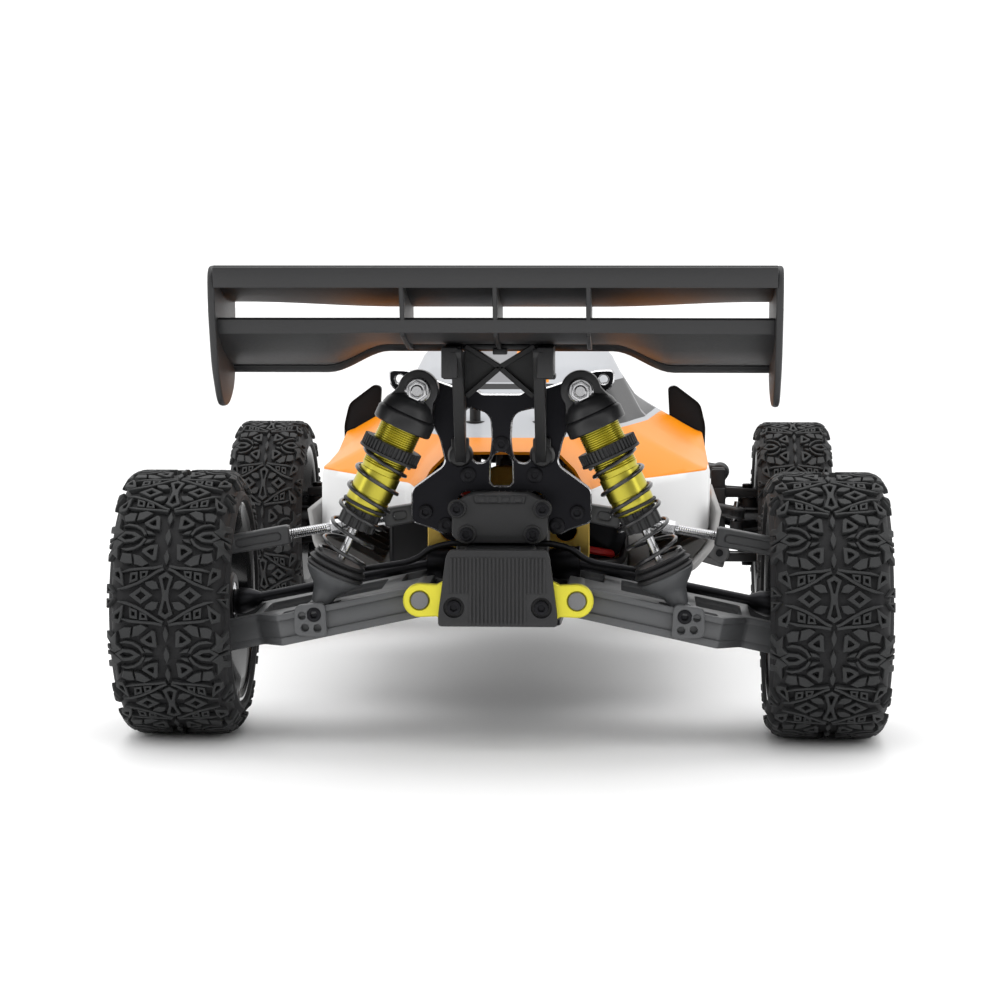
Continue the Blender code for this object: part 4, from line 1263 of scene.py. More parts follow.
def shock(end):
    away = AWAY[end]
    top = Vector((PIVOTS[end]["shock"][0], away * 201, PIVOTS[end]["shock"][1]))
    foot = Vector((PIVOTS[end]["shock_end"][0], away * 201, PIVOTS[end]["shock_end"][1]))
    length = (foot - top).length
    body_end = length - 45.0
    frame_turn = aimed(top, foot - top)
    level = frame_turn.inverted().to_3x3() @ Vector((0, 1, 0))
    roll = math.atan2(level.x, level.y)
    place = frame_turn @ Matrix.Rotation(-roll, 4, "Z")
    made = {}

    cap = [
        turned(
            "cap",
            [
                (9.4, 0), (9.4, 9.6), (10.2, 11.2), (11.2, 11.8), (15.5, 11.8), (16, 11.4),
                (16, 8.2), (16, 0)
            ],
            steps=48
        ),
        turned("dome", [(3.0, 0), (3.0, 6.0), (4.6, 8.6), (7.2, 10.2), (9.6, 10.9), (9.6, 0)], steps=48),
    ]
    eye_outline = [*arc((0, 0), 7.9, 165, 375, 22), (9.0, 6), (9.4, 12), (-9.4, 12), (-9.0, 6)]
    cap.append(
        plate(
            "eye", eye_outline, "XZ", -EYE_THICKNESS / 2, EYE_THICKNESS / 2,
            [circle(0, 0, 3.3, 24)], 0.7, 1
        )
    )
    made["cap"] = (joined("cap", cap), cap_black)

    gold = [(15.8, 0), (15.8, 8.0)] + thread_profile(16, 34.6, 8.35)
    groove = body_end - 6.5
    gold += [
        (34.8, 7.9), (35.3, 7.9), (35.5, 8.35), (groove, 8.35), (groove + 0.2, 8.0), (groove + 1.2, 8.0),
        (groove + 1.4, 8.35), (body_end - 1.0, 8.35), (body_end, 7.7), (body_end, 0),
    ]
    made["body"] = (turned("body", gold, steps=56), gold_body)

    flutes = cog("cartridge", 14, 7.6, 6.9, body_end, body_end + 7.6, 0.62)
    nose = turned(
        "nose",
        [(body_end + 7.4, 0), (body_end + 7.4, 5.8), (body_end + 8.0, 4.6), (body_end + 8.0, 0)],
        steps=32
    )
    knurl = cog("knurl", 44, 11.9, 11.25, COLLAR_TOP, COLLAR_TOP + 4.2, 0.42)
    seat = turned("seat", [
        (COLLAR_TOP + 4.0, 0), (COLLAR_TOP + 4.0, 11.2), (COLLAR_TOP + 4.3, 12.1), (
            COLLAR_TOP + 5.2, 12.1
        ),
        (COLLAR_END, 11.6), (COLLAR_END, 0),
    ], steps=48)
    o_ring = turned("ring", [
        (body_end - 1.6 + 0.7 * math.cos(t), 8.5 + 0.7 * math.sin(t)) for t in
        (i * math.pi / 4 for i in range(8))
    ], steps=48, closed=True)
    made["collar"] = (joined("collar", [flutes, nose, knurl, seat, o_ring]), boot_rubber)

    bush = turned("bush", [(-4.4, 0), (-4.4, 3.0), (4.4, 3.0), (4.4, 0)], (0, 0, 0), (0, 1, 0), 24)
    nut = plate("nut", circle(0, 0, 4.0, 6), "XZ", -2.2, 2.2, [circle(0, 0, 2.2, 20)], 0.5, 1)
    nut.data.transform(Matrix.Translation((0, away * 6.6 * MM, 0)))
    flange = turned(
        "flange", [(0, 1.6), (0, 4.9), (0.5, 5.1), (1.3, 4.3), (1.3, 1.6)], (0, away * 4.2, 0),
        (0, away, 0), 32, closed=True
    )
    tip = turned(
        "tip", [(0, 0), (0, 2.3), (5.2, 2.3), (5.6, 1.9), (5.6, 0)], (0, away * 4.0, 0),
        (0, away, 0), 20
    )
    made["nut"] = (joined("nut", [bush, nut, flange, tip]), chrome)

    shaft_top = body_end - 8
    shaft = turned("shaft", [
        (shaft_top, 0), (shaft_top, 1.7), (length - 20, 1.7), (length - 20, 0)
    ], steps=24)
    ball = turned(
        "ball", [(-4.2, 0), (-4.2, 2.2), (-3.2, 2.6), (0, 3.6), (3.2, 2.6), (4.2, 2.2), (4.2, 0)],
        (0, 0, length), (0, 1, 0), 24
    )
    made["shaft"] = (joined("shaft", [shaft, ball]), chrome)

    rings = turned("rings", [
        (length - 23.6, 0), (length - 23.6, 10.2), (length - 22.9, 10.9), (length - 22.2, 10.2),
        (length - 21.9, 9.9), (length - 21.5, 11.2), (length - 20.6, 11.9), (length - 19.8, 11.2),
        (length - 19.4, 10.4), (length - 19.0, 11.5), (length - 18.2, 11.9), (length - 17.4, 11.3),
        (length - 17.2, 0),
    ], steps=48)
    made["boot"] = (rings, boot_rubber)
    bowl = turned("bowl", [
        (length - 17.6, 0), (length - 17.6, 11.0), (length - 16.8, 11.3), (length - 15.4, 10.6),
        (length - 13.2, 8.6), (length - 11.2, 6.4), (length - 9.4, 5.1), (length - 6.8, 4.4),
        (length - 4, 3.6), (length - 4, 0),
    ], steps=48)
    lower_eye = turned("lower_eye", [
        (-3.0, 3.2), (-3.0, 4.2), (-2.6, 4.7), (2.6, 4.7), (3.0, 4.2), (3.0, 3.2)
    ], (0, 0, length), (0, 1, 0), 28, closed=True)
    made["bowl"] = (joined("bowl", [bowl, lower_eye]), bowl_nylon)

    nodes = {"body": "shock_body", "shaft": "shock_shaft"}
    slots = {"nut": "bright_steel", "shaft": "bright_steel", "body": "gold_anodised"}
    for key, (piece, finish) in made.items():
        piece.data.transform(place)
        carrier = "damper_shaft" if key in ("shaft", "boot", "bowl") else "damper"
        node = f"{end}_{nodes[key]}" if key in nodes else None
        both_sides(
            piece, f"{end}_shock_{key}", f"{end}_{carrier}", slots.get(key, "black_nylon"), finish,
            node=node
        )

    coils, first, last = 6.6, COLLAR_END + 0.8, length - 24.6
    points = []
    for i in range(int(coils * 24) + 1):
        turn = i / 24
        t = turn / coils
        open_part = (turn - 0.55) / (coils - 1.1)
        height = first + (last - first) * min(1, max(0, 0.02 * t + 0.98 * open_part))
        angle = 2 * math.pi * turn
        points.append((9.45 * math.cos(angle), 9.45 * math.sin(angle), height))
    coil = wire("coil", points, 0.8, smooth=False)
    coil.data.transform(place)
    start = (place @ Vector((0, 0, (COLLAR_END + 0.5) * MM)))
    finish = (place @ Vector((0, 0, (length - 24.3) * MM)))
    for side in ("left", "right"):
        flip = -1 if side == "left" else 1
        twin = copied(coil, f"{end}_coil_spring_{side}", MIRROR_X if flip < 0 else None)
        twin.data.materials.clear()
        twin.data.materials.append(spring_black.material)
        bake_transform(twin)
        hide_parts(f"{end}_spring_{side}")
    thrown_away(coil)


shock("rear")
shock("front")

# Wheels: gloss black dish rims, each with an axle stub and a serrated wheel nut. The
# rim's inner face is open, so its barrel and ribs show from the middle of the buggy.

HALF_WIDTH = {"rear": 24.5, "front": 19.5}
WHEEL_OUT = 154.0
rim_gloss = Finish("rim gloss", (0.009, 0.009, 0.01), 0.12, 0.0, Coat_Weight=0.6, Coat_Roughness=0.05)
rim_gloss.set("Roughness", 0.1 + 0.12 * rim_gloss.noise(40.0, 4.0))
rim_gloss.bump(rim_gloss.noise(90.0), 0.04, 0.0005)
for end in ("rear", "front"):
    away = AWAY[end]
    outer, inner = WHEEL_OUT, WHEEL_OUT - 2 * HALF_WIDTH[end]
    centre = (0, away * AXLE, 53.6)
    shell = turned("rim", [
        (inner + 8, 0), (inner + 8, 6.0), (inner + 8.4, 6.4), (outer - 13.4, 6.4), (outer - 12.4, 8),
        (outer - 7.2, 15), (outer - 6.8, 25), (outer - 8.0, 34), (outer - 10.4, 37.2), (
            outer - 13, 38.0
        ),
        (inner + 5, 38.2), (inner + 3.4, 38.8), (inner + 2.2, 39.8), (inner + 2.0, 40.5),
        (inner + 2.8, 40.6), (outer - 2.8, 40.6), (outer - 2.0, 40.4), (outer - 1.9, 39.2),
        (outer - 2.8, 37.8), (outer - 4.2, 36.2), (outer - 4.6, 30), (outer - 3.6, 20), (
            outer - 3.4, 13.6
        ),
        (outer - 5.4, 10.4), (outer - 7.0, 8.4), (outer - 7.0, 0),
    ], centre, (1, 0, 0), 72)
    ribs = []
    for i in range(10):
        rib = slab("rib", (outer - 17, -1.0, 6.2), (outer - 6.2, 1.0, 38), 0.4)
        rib.data.transform(
            Matrix.Translation(Vector(centre) * MM) @ Matrix.Rotation(i * math.pi / 5, 4, "X")
        )
        ribs.append(rib)
    both_sides(
        joined("rim", [shell, *ribs]), f"{end}_dish_rim", f"{end}_wheel", "rim_plastic", rim_gloss,
        node=f"{end}_wheel_rim",
    )
    nut = cog("nut", 24, 8.2, 7.7, 0, 4.2, 0.5, [circle(0, 0, 3.6, 24)])
    hexagon = plate("hexagon", circle(0, 0, 9.4, 6), "XY", 0.2, 2.6, chamfer=0.5)
    stub = turned(
        "stub", [(-24, 0), (-24, 4.8), (-2, 4.8), (2.8, 3.5), (5.0, 3.5), (5.2, 3.0), (5.2, 0)],
        steps=24
    )
    hub_nut = joined("wheel_nut", [nut, hexagon, stub])
    hub_nut.data.transform(aimed((outer - 7.2, away * AXLE, 53.6), (1, 0, 0)))
    both_sides(hub_nut, f"{end}_wheel_nut", f"{end}_wheel", "black_steel", screw_steel)

# Tyres: soft black rubber on foam. The tread repeats seven times round the tyre, in two
# alternating rows of outlined blocks and ribs; each block is cut flat and wrapped on. The
# carcass between the blocks is the same rubber coloured darker, as painted shade in the grooves.

ROW_GAP = math.pi * 53.6 / 7
TREAD_HEIGHT = 2.2
FLAT_HALF, CROWN = 16.0, 45.1  # half width of the flat tread, and its shoulder's centre


def shifted(points, u):
    return [(x, y + u) for x, y in points]


def band(points, width):
    """An outline of constant width along a line of points, tapered at its far end."""
    left, right = [], []
    for i, point in enumerate(points):
        before = Vector(points[max(i - 1, 0)])
        after = Vector(points[min(i + 1, len(points) - 1)])
        side = (after - before).normalized().orthogonal()
        half = 0.5 * width * (1.0 if i < len(points) - 1 else 0.35)
        left.append(tuple(Vector(point) + side * half))
        right.append(tuple(Vector(point) - side * half))
    return left + right[::-1]


TRIANGLE_SHARE = 0.42


def shrunk(points, share=TRIANGLE_SHARE):
    """The outline of the recess in an outlined block."""
    centre = sum((Vector(point) for point in points), Vector((0, 0))) / len(points)
    return [tuple(centre + (Vector(point) - centre) * share) for point in points]


B = ROW_GAP  # where the second row lies
MIDDLE_BLOCKS = [  # on the centre line, whole
    ([(0, 9.3), (2.9, 7.4), (1.5, 2.6), (1.25, 0), (1.5, -2.6), (2.9, -7.4), (0, -9.3),
      (-2.9, -7.4), (-1.5, -2.6), (-1.25, 0), (-1.5, 2.6), (-2.9, 7.4)],
     [[(0, 7.4), (1.3, 6.6), (0.3, 2.2), (-0.3, 2.2), (-1.3, 6.6)],
      [(0, -7.4), (1.3, -6.6), (0.3, -2.2), (-0.3, -2.2), (-1.3, -6.6)]]),
    (shifted([(0, 3.8), (1.15, 0.6), (1.0, -1.2), (0, -3.8), (-1.0, -1.2), (-1.15, 0.6)], B), []),
]
CENTRE_LOZENGE = [(0, 3.4), (1.05, 0.4), (0.85, -1.2), (0, -3.4), (-0.85, -1.2), (-1.05, 0.4)]
SIDE_BLOCKS = [  # beside the first row, on its axis, mirrored across only
    ([(4.9, 0), (9.6, 3.4), (14.3, 0), (9.6, -3.4)], [[(7.6, 0), (9.6, 1.7), (11.6, 0), (9.6, -1.7)]]),
    (shifted([(10.2, 0), (13.4, 2.2), (17.2, 2.6), (20.6, 0), (17.2, -2.6), (13.4, -2.2)], B),
     [shifted([(12.8, 0), (14.6, 1.0), (17.0, 1.2), (18.6, 0), (17.0, -1.2), (14.6, -1.0)], B)]),
]
QUARTER_BLOCKS = [  # mirrored across and round
    ([(2.6, 2.7), (3.6, 5.2), (5.2, 5.9), (8.0, 5.2), (7.6, 3.9), (5.4, 2.4)], []),
    (band([(0.9, 10.6), (3.2, 9.6), (7.2, 6.9), (11.4, 4.6), (15.6, 3.0), (19.0, 2.4)], 1.15), []),
    (band([(1.2, 11.6), (4.8, 10.9), (9.4, 10.6), (14.2, 10.1), (17.6, 9.2)], 1.1), []),
    ([(6.9, 9.8), (7.4, 7.3), (10.0, 6.2), (10.3, 9.6)], None),
    ([(11.0, 9.4), (11.0, 5.9), (14.2, 4.6), (14.0, 8.9)], None),
    ([(16.4, 3.6), (21.6, 7.6), (21.4, 10.6), (18.2, 11.2), (17.0, 8.2)], None),
    ([(20.6, 1.2), (24.2, 1.0), (24.2, 5.4)], None),
    (shifted([(3.6, -3.3), (4.0, -9.6), (5.2, -10.3), (10.0, -6.6), (9.6, -5.4), (6.6, -3.6)], B), None),
    (shifted(band([(9.0, -0.9), (10.6, -3.4), (13.0, -5.0), (16.0, -5.6), (18.2, -5.0)], 1.1), B), []),
    (shifted([(5.2, -1.0), (8.2, -1.2), (9.2, -3.0), (7.0, -2.4)], B), []),
    (shifted([(17.6, -2.4), (19.9, -4.4), (19.6, -9.4), (22.0, -6.6), (24.2, -8.6), (24.2, -5.6),
              (22.2, -3.6), (21.8, -1.2), (24.2, -2.6), (24.2, -0.5), (20.6, -0.5)], B), []),
    (shifted([(7.0, -11.3), (10.6, -8.2), (13.2, -7.6), (12.6, -11.6), (9.6, -12.6)], B), []),
    (shifted([(13.4, -11.4), (14.0, -7.4), (17.6, -7.0), (18.4, -10.2), (16.2, -11.4)], B), []),
]


def across(points):
    return [(-v, u) for v, u in points]


def round_the_row(points, row):
    return [(v, 2 * row - u) for v, u in points]


def tread_cell():
    """One of the seven repeats, from the first row's middle to just short of the next."""
    blocks = [(outline, holes) for outline, holes in MIDDLE_BLOCKS]
    for offset in (-8.7, 8.7):
        blocks.append((shifted(CENTRE_LOZENGE, B + offset), []))
    for outline, holes in SIDE_BLOCKS:
        blocks.append((outline, holes))
        blocks.append((across(outline), [across(hole) for hole in holes]))
    for outline, holes in QUARTER_BLOCKS:
        holes = [shrunk(outline)] if holes is None else holes
        row = 0 if min(u for _, u in outline) < 0.55 * B and max(u for _, u in outline) < 0.6 * B else B
        for turn in (lambda p: p, across):
            one = (turn(outline), [turn(hole) for hole in holes])
            blocks.append(one)
            blocks.append((round_the_row(one[0], row), [round_the_row(hole, row) for hole in one[1]]))
    pieces = []
    for outline, holes in blocks:
        pieces.append(plate("block", outline, "XY", 0, TREAD_HEIGHT, holes, chamfer=0.22))
    return joined("cell", pieces)


def wrapped(piece, half_width):
    """Bends flat tread, X across, Y along and Z up, onto the tyre about the X axis."""
    narrow = half_width / 24.5
    for vertex in piece.data.vertices:
        v, u, height = vertex.co / MM
        side = 1 if v >= 0 else -1
        over = abs(v) - FLAT_HALF
        lean = math.asin(min(0.97, max(0.0, over) / 8.5))
        reach = 8.5 - TREAD_HEIGHT + height
        wide = min(abs(v), FLAT_HALF) + reach * math.sin(lean)
        radius = CROWN + reach * math.cos(lean)
        angle = u / 53.6
        vertex.co = Vector((
            side * wide * narrow, radius * math.sin(angle), radius * math.cos(angle)
        )) * MM
    return piece


def subdivided(piece, spacing):
    """Cuts the piece's long faces where planes across its length cross it."""
    only(piece)
    bpy.ops.object.mode_set(mode="EDIT")
    low = min(vertex.co.y for vertex in piece.data.vertices)
    high = max(vertex.co.y for vertex in piece.data.vertices)
    place = low + spacing
    while place < high:
        bpy.ops.mesh.select_all(action="SELECT")
        bpy.ops.mesh.bisect(plane_co=(0, place, 0), plane_no=(0, 1, 0))
        place += spacing
    bpy.ops.object.mode_set(mode="OBJECT")
    return piece


rubber = Finish("tyre rubber", (0.021, 0.022, 0.023), 0.62, Specular_IOR_Level=0.35)
bloom = rubber.noise(120.0, 4.0)
rubber.set("Base Color", rubber.mix(bloom, (0.014, 0.0145, 0.015), (0.034, 0.035, 0.036)))
rubber.set("Roughness", 0.55 + 0.2 * bloom)
rubber.bump(rubber.noise(1300.0, 3.0), 0.3, 0.0003)
# Painted shade: the carcass, down between the tread blocks, is coloured darker than the tread although
# it is the same rubber.
groove_shade_rubber = Finish("carcass rubber with painted groove shade", (0.012, 0.012, 0.013), 0.7, Specular_IOR_Level=0.3)
grain = groove_shade_rubber.noise(900.0, 3.0)
groove_shade_rubber.set("Base Color", groove_shade_rubber.mix(grain, (0.009, 0.009, 0.01), (0.017, 0.017, 0.018)))
groove_shade_rubber.set("Roughness", 0.62 + 0.14 * grain)
groove_shade_rubber.bump(grain, 0.3, 0.0003)
cell = subdivided(tread_cell(), 4.0 * MM)
for end in ("rear", "front"):
    half = HALF_WIDTH[end]
    away = AWAY[end]
    flat = FLAT_HALF * half / 24.5
    section = [(-flat, 51.4), (flat, 51.4)]
    for i in range(1, 8):
        lean = math.radians(90 * i / 7)
        section.append((flat + 6.3 * half / 24.5 * math.sin(lean), CROWN + 6.3 * math.cos(lean)))
    section += [
        (half - 1.4, 44.4), (half - 0.6, 43.2), (half - 0.8, 41.6), (half - 2.2, 40.7),
        (half - 5, 40.7)
    ]
    section += [(-x, radius) for x, radius in reversed(section[2:])]
    middle = WHEEL_OUT - half
    carcass = turned("carcass", section, (middle, away * AXLE, 53.6), (1, 0, 0), 98, closed=True)
    carcass.data.materials.append(groove_shade_rubber.material)
    treads = []
    for i in range(7):
        tread = wrapped(copied(cell, "tread"), half)
        start = math.radians(80.5 if away < 0 else 62) + 2 * math.pi * i / 7
        turn = Matrix.Translation(Vector((middle, away * AXLE, 53.6)) * MM) @ Matrix.Rotation(
            start, 4, "X"
        )
        tread.data.transform(turn)
        tread.data.materials.append(rubber.material)
        treads.append(tread)
    tyre = joined("tyre", [*treads, carcass])
    for side in ("left", "right"):
        twin = copied(tyre, f"{end}_knobbly_tyre_{side}", MIRROR_X if side == "left" else None)
        fitted(twin, f"{end}_wheel_{side}", "tyre_rubber", stands_for=[f"{end}_tyre_{side}"])
    thrown_away(tyre)
thrown_away(cell)

# Body shell: thin clear polycarbonate, vacuum formed and painted on the inside. Orange
# pods edged in white, a silver and grey cabin with black windows, and a slot-open tail.

SECTIONS = [  # y, then (half width, height) of roof, shoulder and flank, then the edge
    (-172, (22, 114), (28, 108), (33, 99), 92),
    (-135, (25, 119), (33, 110), (41, 97), 84),
    (-100, (30, 129), (42, 114), (62, 98), 78),
    (-62, (37, 143), (50, 117), (84, 99), 74),
    (-20, (40, 151), (56, 120), (86, 98), 73),
    (22, (38, 150), (55, 124), (86, 100), 73),
    (56, (33, 140), (56, 124), (85, 108), 74),
    (84, (29, 127), (44, 115), (60, 102), 80),
    (130, (25, 113), (34, 106), (42, 97), 87),
    (177, (19, 105), (26, 100), (32, 93), 87),
]


def between(first, second, t):
    return tuple(a + (b - a) * t for a, b in zip(first, second))


def shell_section(y):
    """Half the shell's outline at one place along it, from its edge up to the roof."""
    for before, after in zip(SECTIONS, SECTIONS[1:]):
        if before[0] <= y <= after[0]:
            t = (y - before[0]) / (after[0] - before[0])
            roof, shoulder, flank = (between(before[i], after[i], t) for i in (1, 2, 3))
            edge = before[4] + (after[4] - before[4]) * t
            break
    base = [(flank[0], edge), flank, shoulder, roof]
    return [
        base[0], between(base[0], base[1], 0.5), between(base[0], base[1], 0.92),
        (flank[0] - 0.8, flank[1] + 1.0), between(base[1], base[2], 0.12), between(
            base[1], base[2], 0.5
        ),
        between(base[1], base[2], 0.9), between(base[2], base[3], 0.06), between(base[2], base[3], 0.5),
        between(base[2], base[3], 0.9), (roof[0] - 1.2, roof[1] + 0.1), (roof[0] * 0.6, roof[1] + 0.5),
        (0, roof[1] + 0.6),
    ]


bpy.ops.mesh.primitive_grid_add(x_subdivisions=24, y_subdivisions=64, size=1)
shell = bpy.context.active_object
only(shell)
stations = 65
order = sorted(range(len(shell.data.vertices)), key=lambda i: (
    round(shell.data.vertices[i].co.y, 5), round(shell.data.vertices[i].co.x, 5)
))
for row in range(stations):
    y = -172 + 349 * row / (stations - 1)
    half = shell_section(y)
    section = half + [(-x, z) for x, z in reversed(half[:-1])]
    for column, (x, z) in enumerate(section):
        shell.data.vertices[order[row * 25 + column]].co = Vector((x, y, z)) * MM
modified(shell, "SOLIDIFY", thickness=1.2 * MM, offset=-1.0, use_even_offset=True)
shell = settle("shell", 50)
fins = []
FIN = [(69.0, 130.5), (72.5, 131.5), (84.5, 122.5), (87.0, 112), (86.6, 92), (80, 98), (70, 112)]
for out in (1, -1):
    fin = plate("fin", rounded(FIN, 2.5, 4), "XZ", 57.0, 58.4, chamfer=0.3, rounds=1)
    frame_edge = plate("fin_edge", rounded(FIN, 2.5, 4), "XZ", 56.0, 60.2, [
        [(x * 0.97 + 2.4, z * 0.97 + 3.4) for x, z in rounded(FIN, 2.5, 4)]
    ], chamfer=0.3)
    for made in (fin, frame_edge):
        if out < 0:
            made.data.transform(MIRROR_X)
            made.data.flip_normals()
        fins.append(made)
shell = joined("painted_shell", [shell, *fins])
paint = Finish("shell paint", (0.9, 0.35, 0.02), 0.34, Specular_IOR_Level=0.1)
ORANGE, WHITE, SILVER = (0.8, 0.25, 0.004), (0.8, 0.8, 0.8), (0.4, 0.41, 0.43)
GREY, NIGHT = (0.2, 0.2, 0.21), (0.012, 0.012, 0.013)
separate = paint.node("SeparateXYZ", sockets={"Vector": paint.place()})
across_x = abs(Signal(paint.tree, separate.socket.node.outputs[0]))
along_y = Signal(paint.tree, separate.socket.node.outputs[1])
height = Signal(paint.tree, separate.socket.node.outputs[2])
signed_x = Signal(paint.tree, separate.socket.node.outputs[0])
cabin = (height > 0.1195) * (along_y < 0.1)
window_band = (height > 0.121) * (height < 0.1385) * (along_y > -0.085) * (along_y < 0.078)
pillar = (abs(along_y + 0.012) < 0.004) + (abs(along_y - 0.05) < 0.003)
roof_stripe = (across_x < 0.015 + 0.06 * (height - 0.13)) * (height > 0.139)
swoosh = (height + 0.35 * along_y < 0.088) * (height < 0.1)
edging = (abs(height + 0.35 * along_y - 0.0895) < 0.0014) * (height < 0.1)
speck = paint.noise(2500.0)
colour = paint.mix(cabin, ORANGE, SILVER)
colour = paint.mix(window_band, colour, NIGHT)
colour = paint.mix(pillar * window_band, colour, GREY)
colour = paint.mix(roof_stripe * (signed_x > 0.0), colour, ORANGE)
colour = paint.mix(roof_stripe * (signed_x < 0.0), colour, GREY)
colour = paint.mix(swoosh, colour, WHITE)
colour = paint.mix(edging, colour, WHITE)
fin_outside = (across_x > 0.0665) * (along_y > 0.0545) * (along_y < 0.062) * (height > 0.1005)
colour = paint.mix(fin_outside, colour, NIGHT)
paint.set("Base Color", colour)
paint.set("Roughness", 0.3 + 0.1 * speck)
paint.bump(paint.noise(60.0, 4.0), 0.05, 0.0008)
fitted(shell, "chassis", "painted_shell", paint, stands_for=["body_shell"])
posts = []
for y, z in ((-120, 124.6), (118, 116.9)):
    for x in (-11, 11) if y > 0 else (-14, 14):
        post = [
            (-26, 0), (-26, 2.6), (-1, 2.6), (-1, 4.2), (0.2, 4.2), (0.4, 2.3), (6.6, 2.3),
            (7.2, 1.6), (7.2, 0)
        ]
        posts.append(turned("post", post, (x, y, z), (0, 0, 1), 20))
fitted(joined("body_posts", posts), "chassis", "black_nylon", black_nylon)

# Drive train: a big spur gear on the centre diff, turned by a pinion on the brushless
# motor. Both sit in gold anodised plates; the centre shafts run to the two gearboxes.

SHAFT_HEIGHT, MOTOR_X = 76.0, 30.5
gear_steel = bare_metal("gear steel", (0.09, 0.09, 0.095), 0.3)


def along_buggy(piece, x, y, z):
    turn = Matrix.Rotation(-math.pi / 2, 4, "X")
    piece.data.transform(Matrix.Translation(Vector((x, y, z)) * MM) @ turn)
    return piece


lightening = [
    circle(15.4 * math.cos(math.radians(a)), 15.4 * math.sin(math.radians(a)), 2.9, 18) for a in range(
        0, 360, 60
    )
]
spur = along_buggy(cog("spur", 46, 22.4, 20.4, 0, 6, 0.34, lightening), 0, -7.8, SHAFT_HEIGHT)
can = turned("can", [
    (-22.4, 0), (-22.4, 8), (-21.4, 10.3), (-8, 10.3), (-8, 12.4), (-1.6, 12.4), (-1.6, 10.3),
    (17, 10.3), (18.4, 8), (18.4, 0)
], (0, 0, SHAFT_HEIGHT), (0, 1, 0), 40)
shafts = [
    turned("shaft", [
        (17, 0), (17, 5.4), (22, 5.4), (23, 2.6), (124, 2.6), (125, 4.6), (132.6, 4.6), (132.6, 0)
    ], (0, 0, SHAFT_HEIGHT), (0, way, 0), 24)
    for way in (1, -1)
]
fitted(
    joined("spur_and_shafts", [spur, can, *shafts]), "centre_drive", "black_steel", gear_steel,
    stands_for=["spur_gear"]
)
pinion = along_buggy(cog("pinion", 15, 7.4, 5.6, 0, 9.6, 0.34), MOTOR_X, -10.8, SHAFT_HEIGHT)
stub = turned(
    "stub", [(-17.2, 0), (-17.2, 2.3), (-0.8, 2.3), (-0.4, 1.9), (-0.4, 0)],
    (MOTOR_X, 0, SHAFT_HEIGHT), (0, 1, 0), 20
)
fitted(
    joined("pinion_gear", [pinion, stub]), "motor_rotor", "bright_steel", chrome,
    stands_for=["motor_pinion"]
)
FINS = []
for i in range(11):
    y = -66 + 4 * i
    FINS += [(y, 18.2), (y, 19.4), (y + 2.4, 19.4), (y + 2.4, 18.2)]
can = turned("motor", [
    (-75.8, 0), (-75.8, 13), (-75, 15), (-73, 18.4), (-71.6, 19.4), (-67.6, 19.4), (-67.4, 18.2), *FINS,
    (-21.6, 18.2), (-21.4, 19.4), (-20, 19.2), (-18.2, 17.2), (-18.2, 0),
], (MOTOR_X, 0, SHAFT_HEIGHT), (0, 1, 0), 64)
bell = [
    turned(
        "tab", [(0, 0), (0, 2.4), (3, 2.4), (3, 0)],
        (MOTOR_X + x, -78.6, SHAFT_HEIGHT + 9), (0, 1, 0), 16
    )
    for x in (-6, 0, 6)
]
motor_black = anodised("motor black", (0.018, 0.018, 0.02), 0.36)
fitted(
    joined("brushless_motor", [can, *bell]), "chassis", "black_steel", motor_black,
    stands_for=["motor"]
)
gold_plate = anodised("plate gold", (0.72, 0.5, 0.12), 0.3)
plate_outline = [(-20, 53.3), (49, 53.3), (49, 92), (40, 98), (-12, 98), (-20, 90)]
mount_plate = plate("gear_plate", rounded(plate_outline, 4, 4), "XZ", -17.5, -12.5, [
    circle(0, SHAFT_HEIGHT, 13, 40), circle(MOTOR_X, SHAFT_HEIGHT, 6.5, 28), circle(44, 60, 3, 20),
    circle(-14, 60, 3, 20),
], 0.5)
fitted(mount_plate, "chassis", "gold_anodised", gold_plate, stands_for=["motor_mount"])
rear_plate = plate(
    "deck_plate",
    rounded([(-34, 66), (34, 66), (34, 88), (22, 92), (-22, 92), (-34, 88)], 3, 4),
    "XZ", -120, -117.6,
    [circle(x, 79, 4.6, 24) for x in (-24, 24)] + [circle(0, 76, 7, 24)],
    0.4,
)
fitted(rear_plate, "chassis", "gold_anodised", gold_plate)

# Electronics: a hard-cased battery under two straps on the left, the speed controller,
# the receiver box and the steering servo, with silicone leads between them.

case_black = moulded("battery case", (0.022, 0.022, 0.026), 0.34, 600.0, 0.1)
pack = slab("pack", (-54, -78, 57.5), (-24, 60, 98), 2.4, 4)
grooves = [slab("rib", (-54.4, y, 62), (-23.6, y + 1.6, 94), 0.4) for y in (-60, -30, 0, 30)]
fitted(
    joined("battery_pack", [pack, *grooves]), "chassis", "battery_case", case_black,
    stands_for=["battery"]
)
strap_web = moulded("strap webbing", (0.02, 0.02, 0.021), 0.7, 2600.0, 0.5)
straps = []
for y in (-45, 18):
    loop = [
        (-55.2, 54), (-55.2, 98.8), (-22.8, 98.8), (-22.8, 54), (-24.2, 54), (-24.2, 97.6),
        (-53.8, 97.6), (-53.8, 54)
    ]
    straps.append(plate("strap", loop, "XZ", y, y + 16, chamfer=0.3))
fitted(joined("battery_straps", straps), "chassis", "black_nylon", strap_web)
boxes = [
    slab("controller", (14, 14, 58), (50, 60, 84), 2, 3),
    *[slab("fin", (17 + 3.4 * i, 18, 84), (18.2 + 3.4 * i, 56, 91), 0.3) for i in range(10)],
    slab("fan", (20, 24, 91), (46, 50, 97), 1.2, 3),
    slab("receiver", (14, 70, 54), (44, 100, 76), 2.4, 3),
    slab("servo", (-48, 78, 54), (-27, 118, 92), 1.4, 3),
    slab("servo_flange", (-50, 72, 78), (-25, 124, 80.6), 0.6),
    turned("servo_horn", [(0, 0), (0, 5), (3, 5), (3, 0)], (-37, 104, 92), (0, 0, 1), 24),
]
fitted(joined("electronics", boxes), "chassis", "black_nylon", black_nylon)
silicone_red = Finish("red silicone", (0.55, 0.012, 0.01), 0.42)
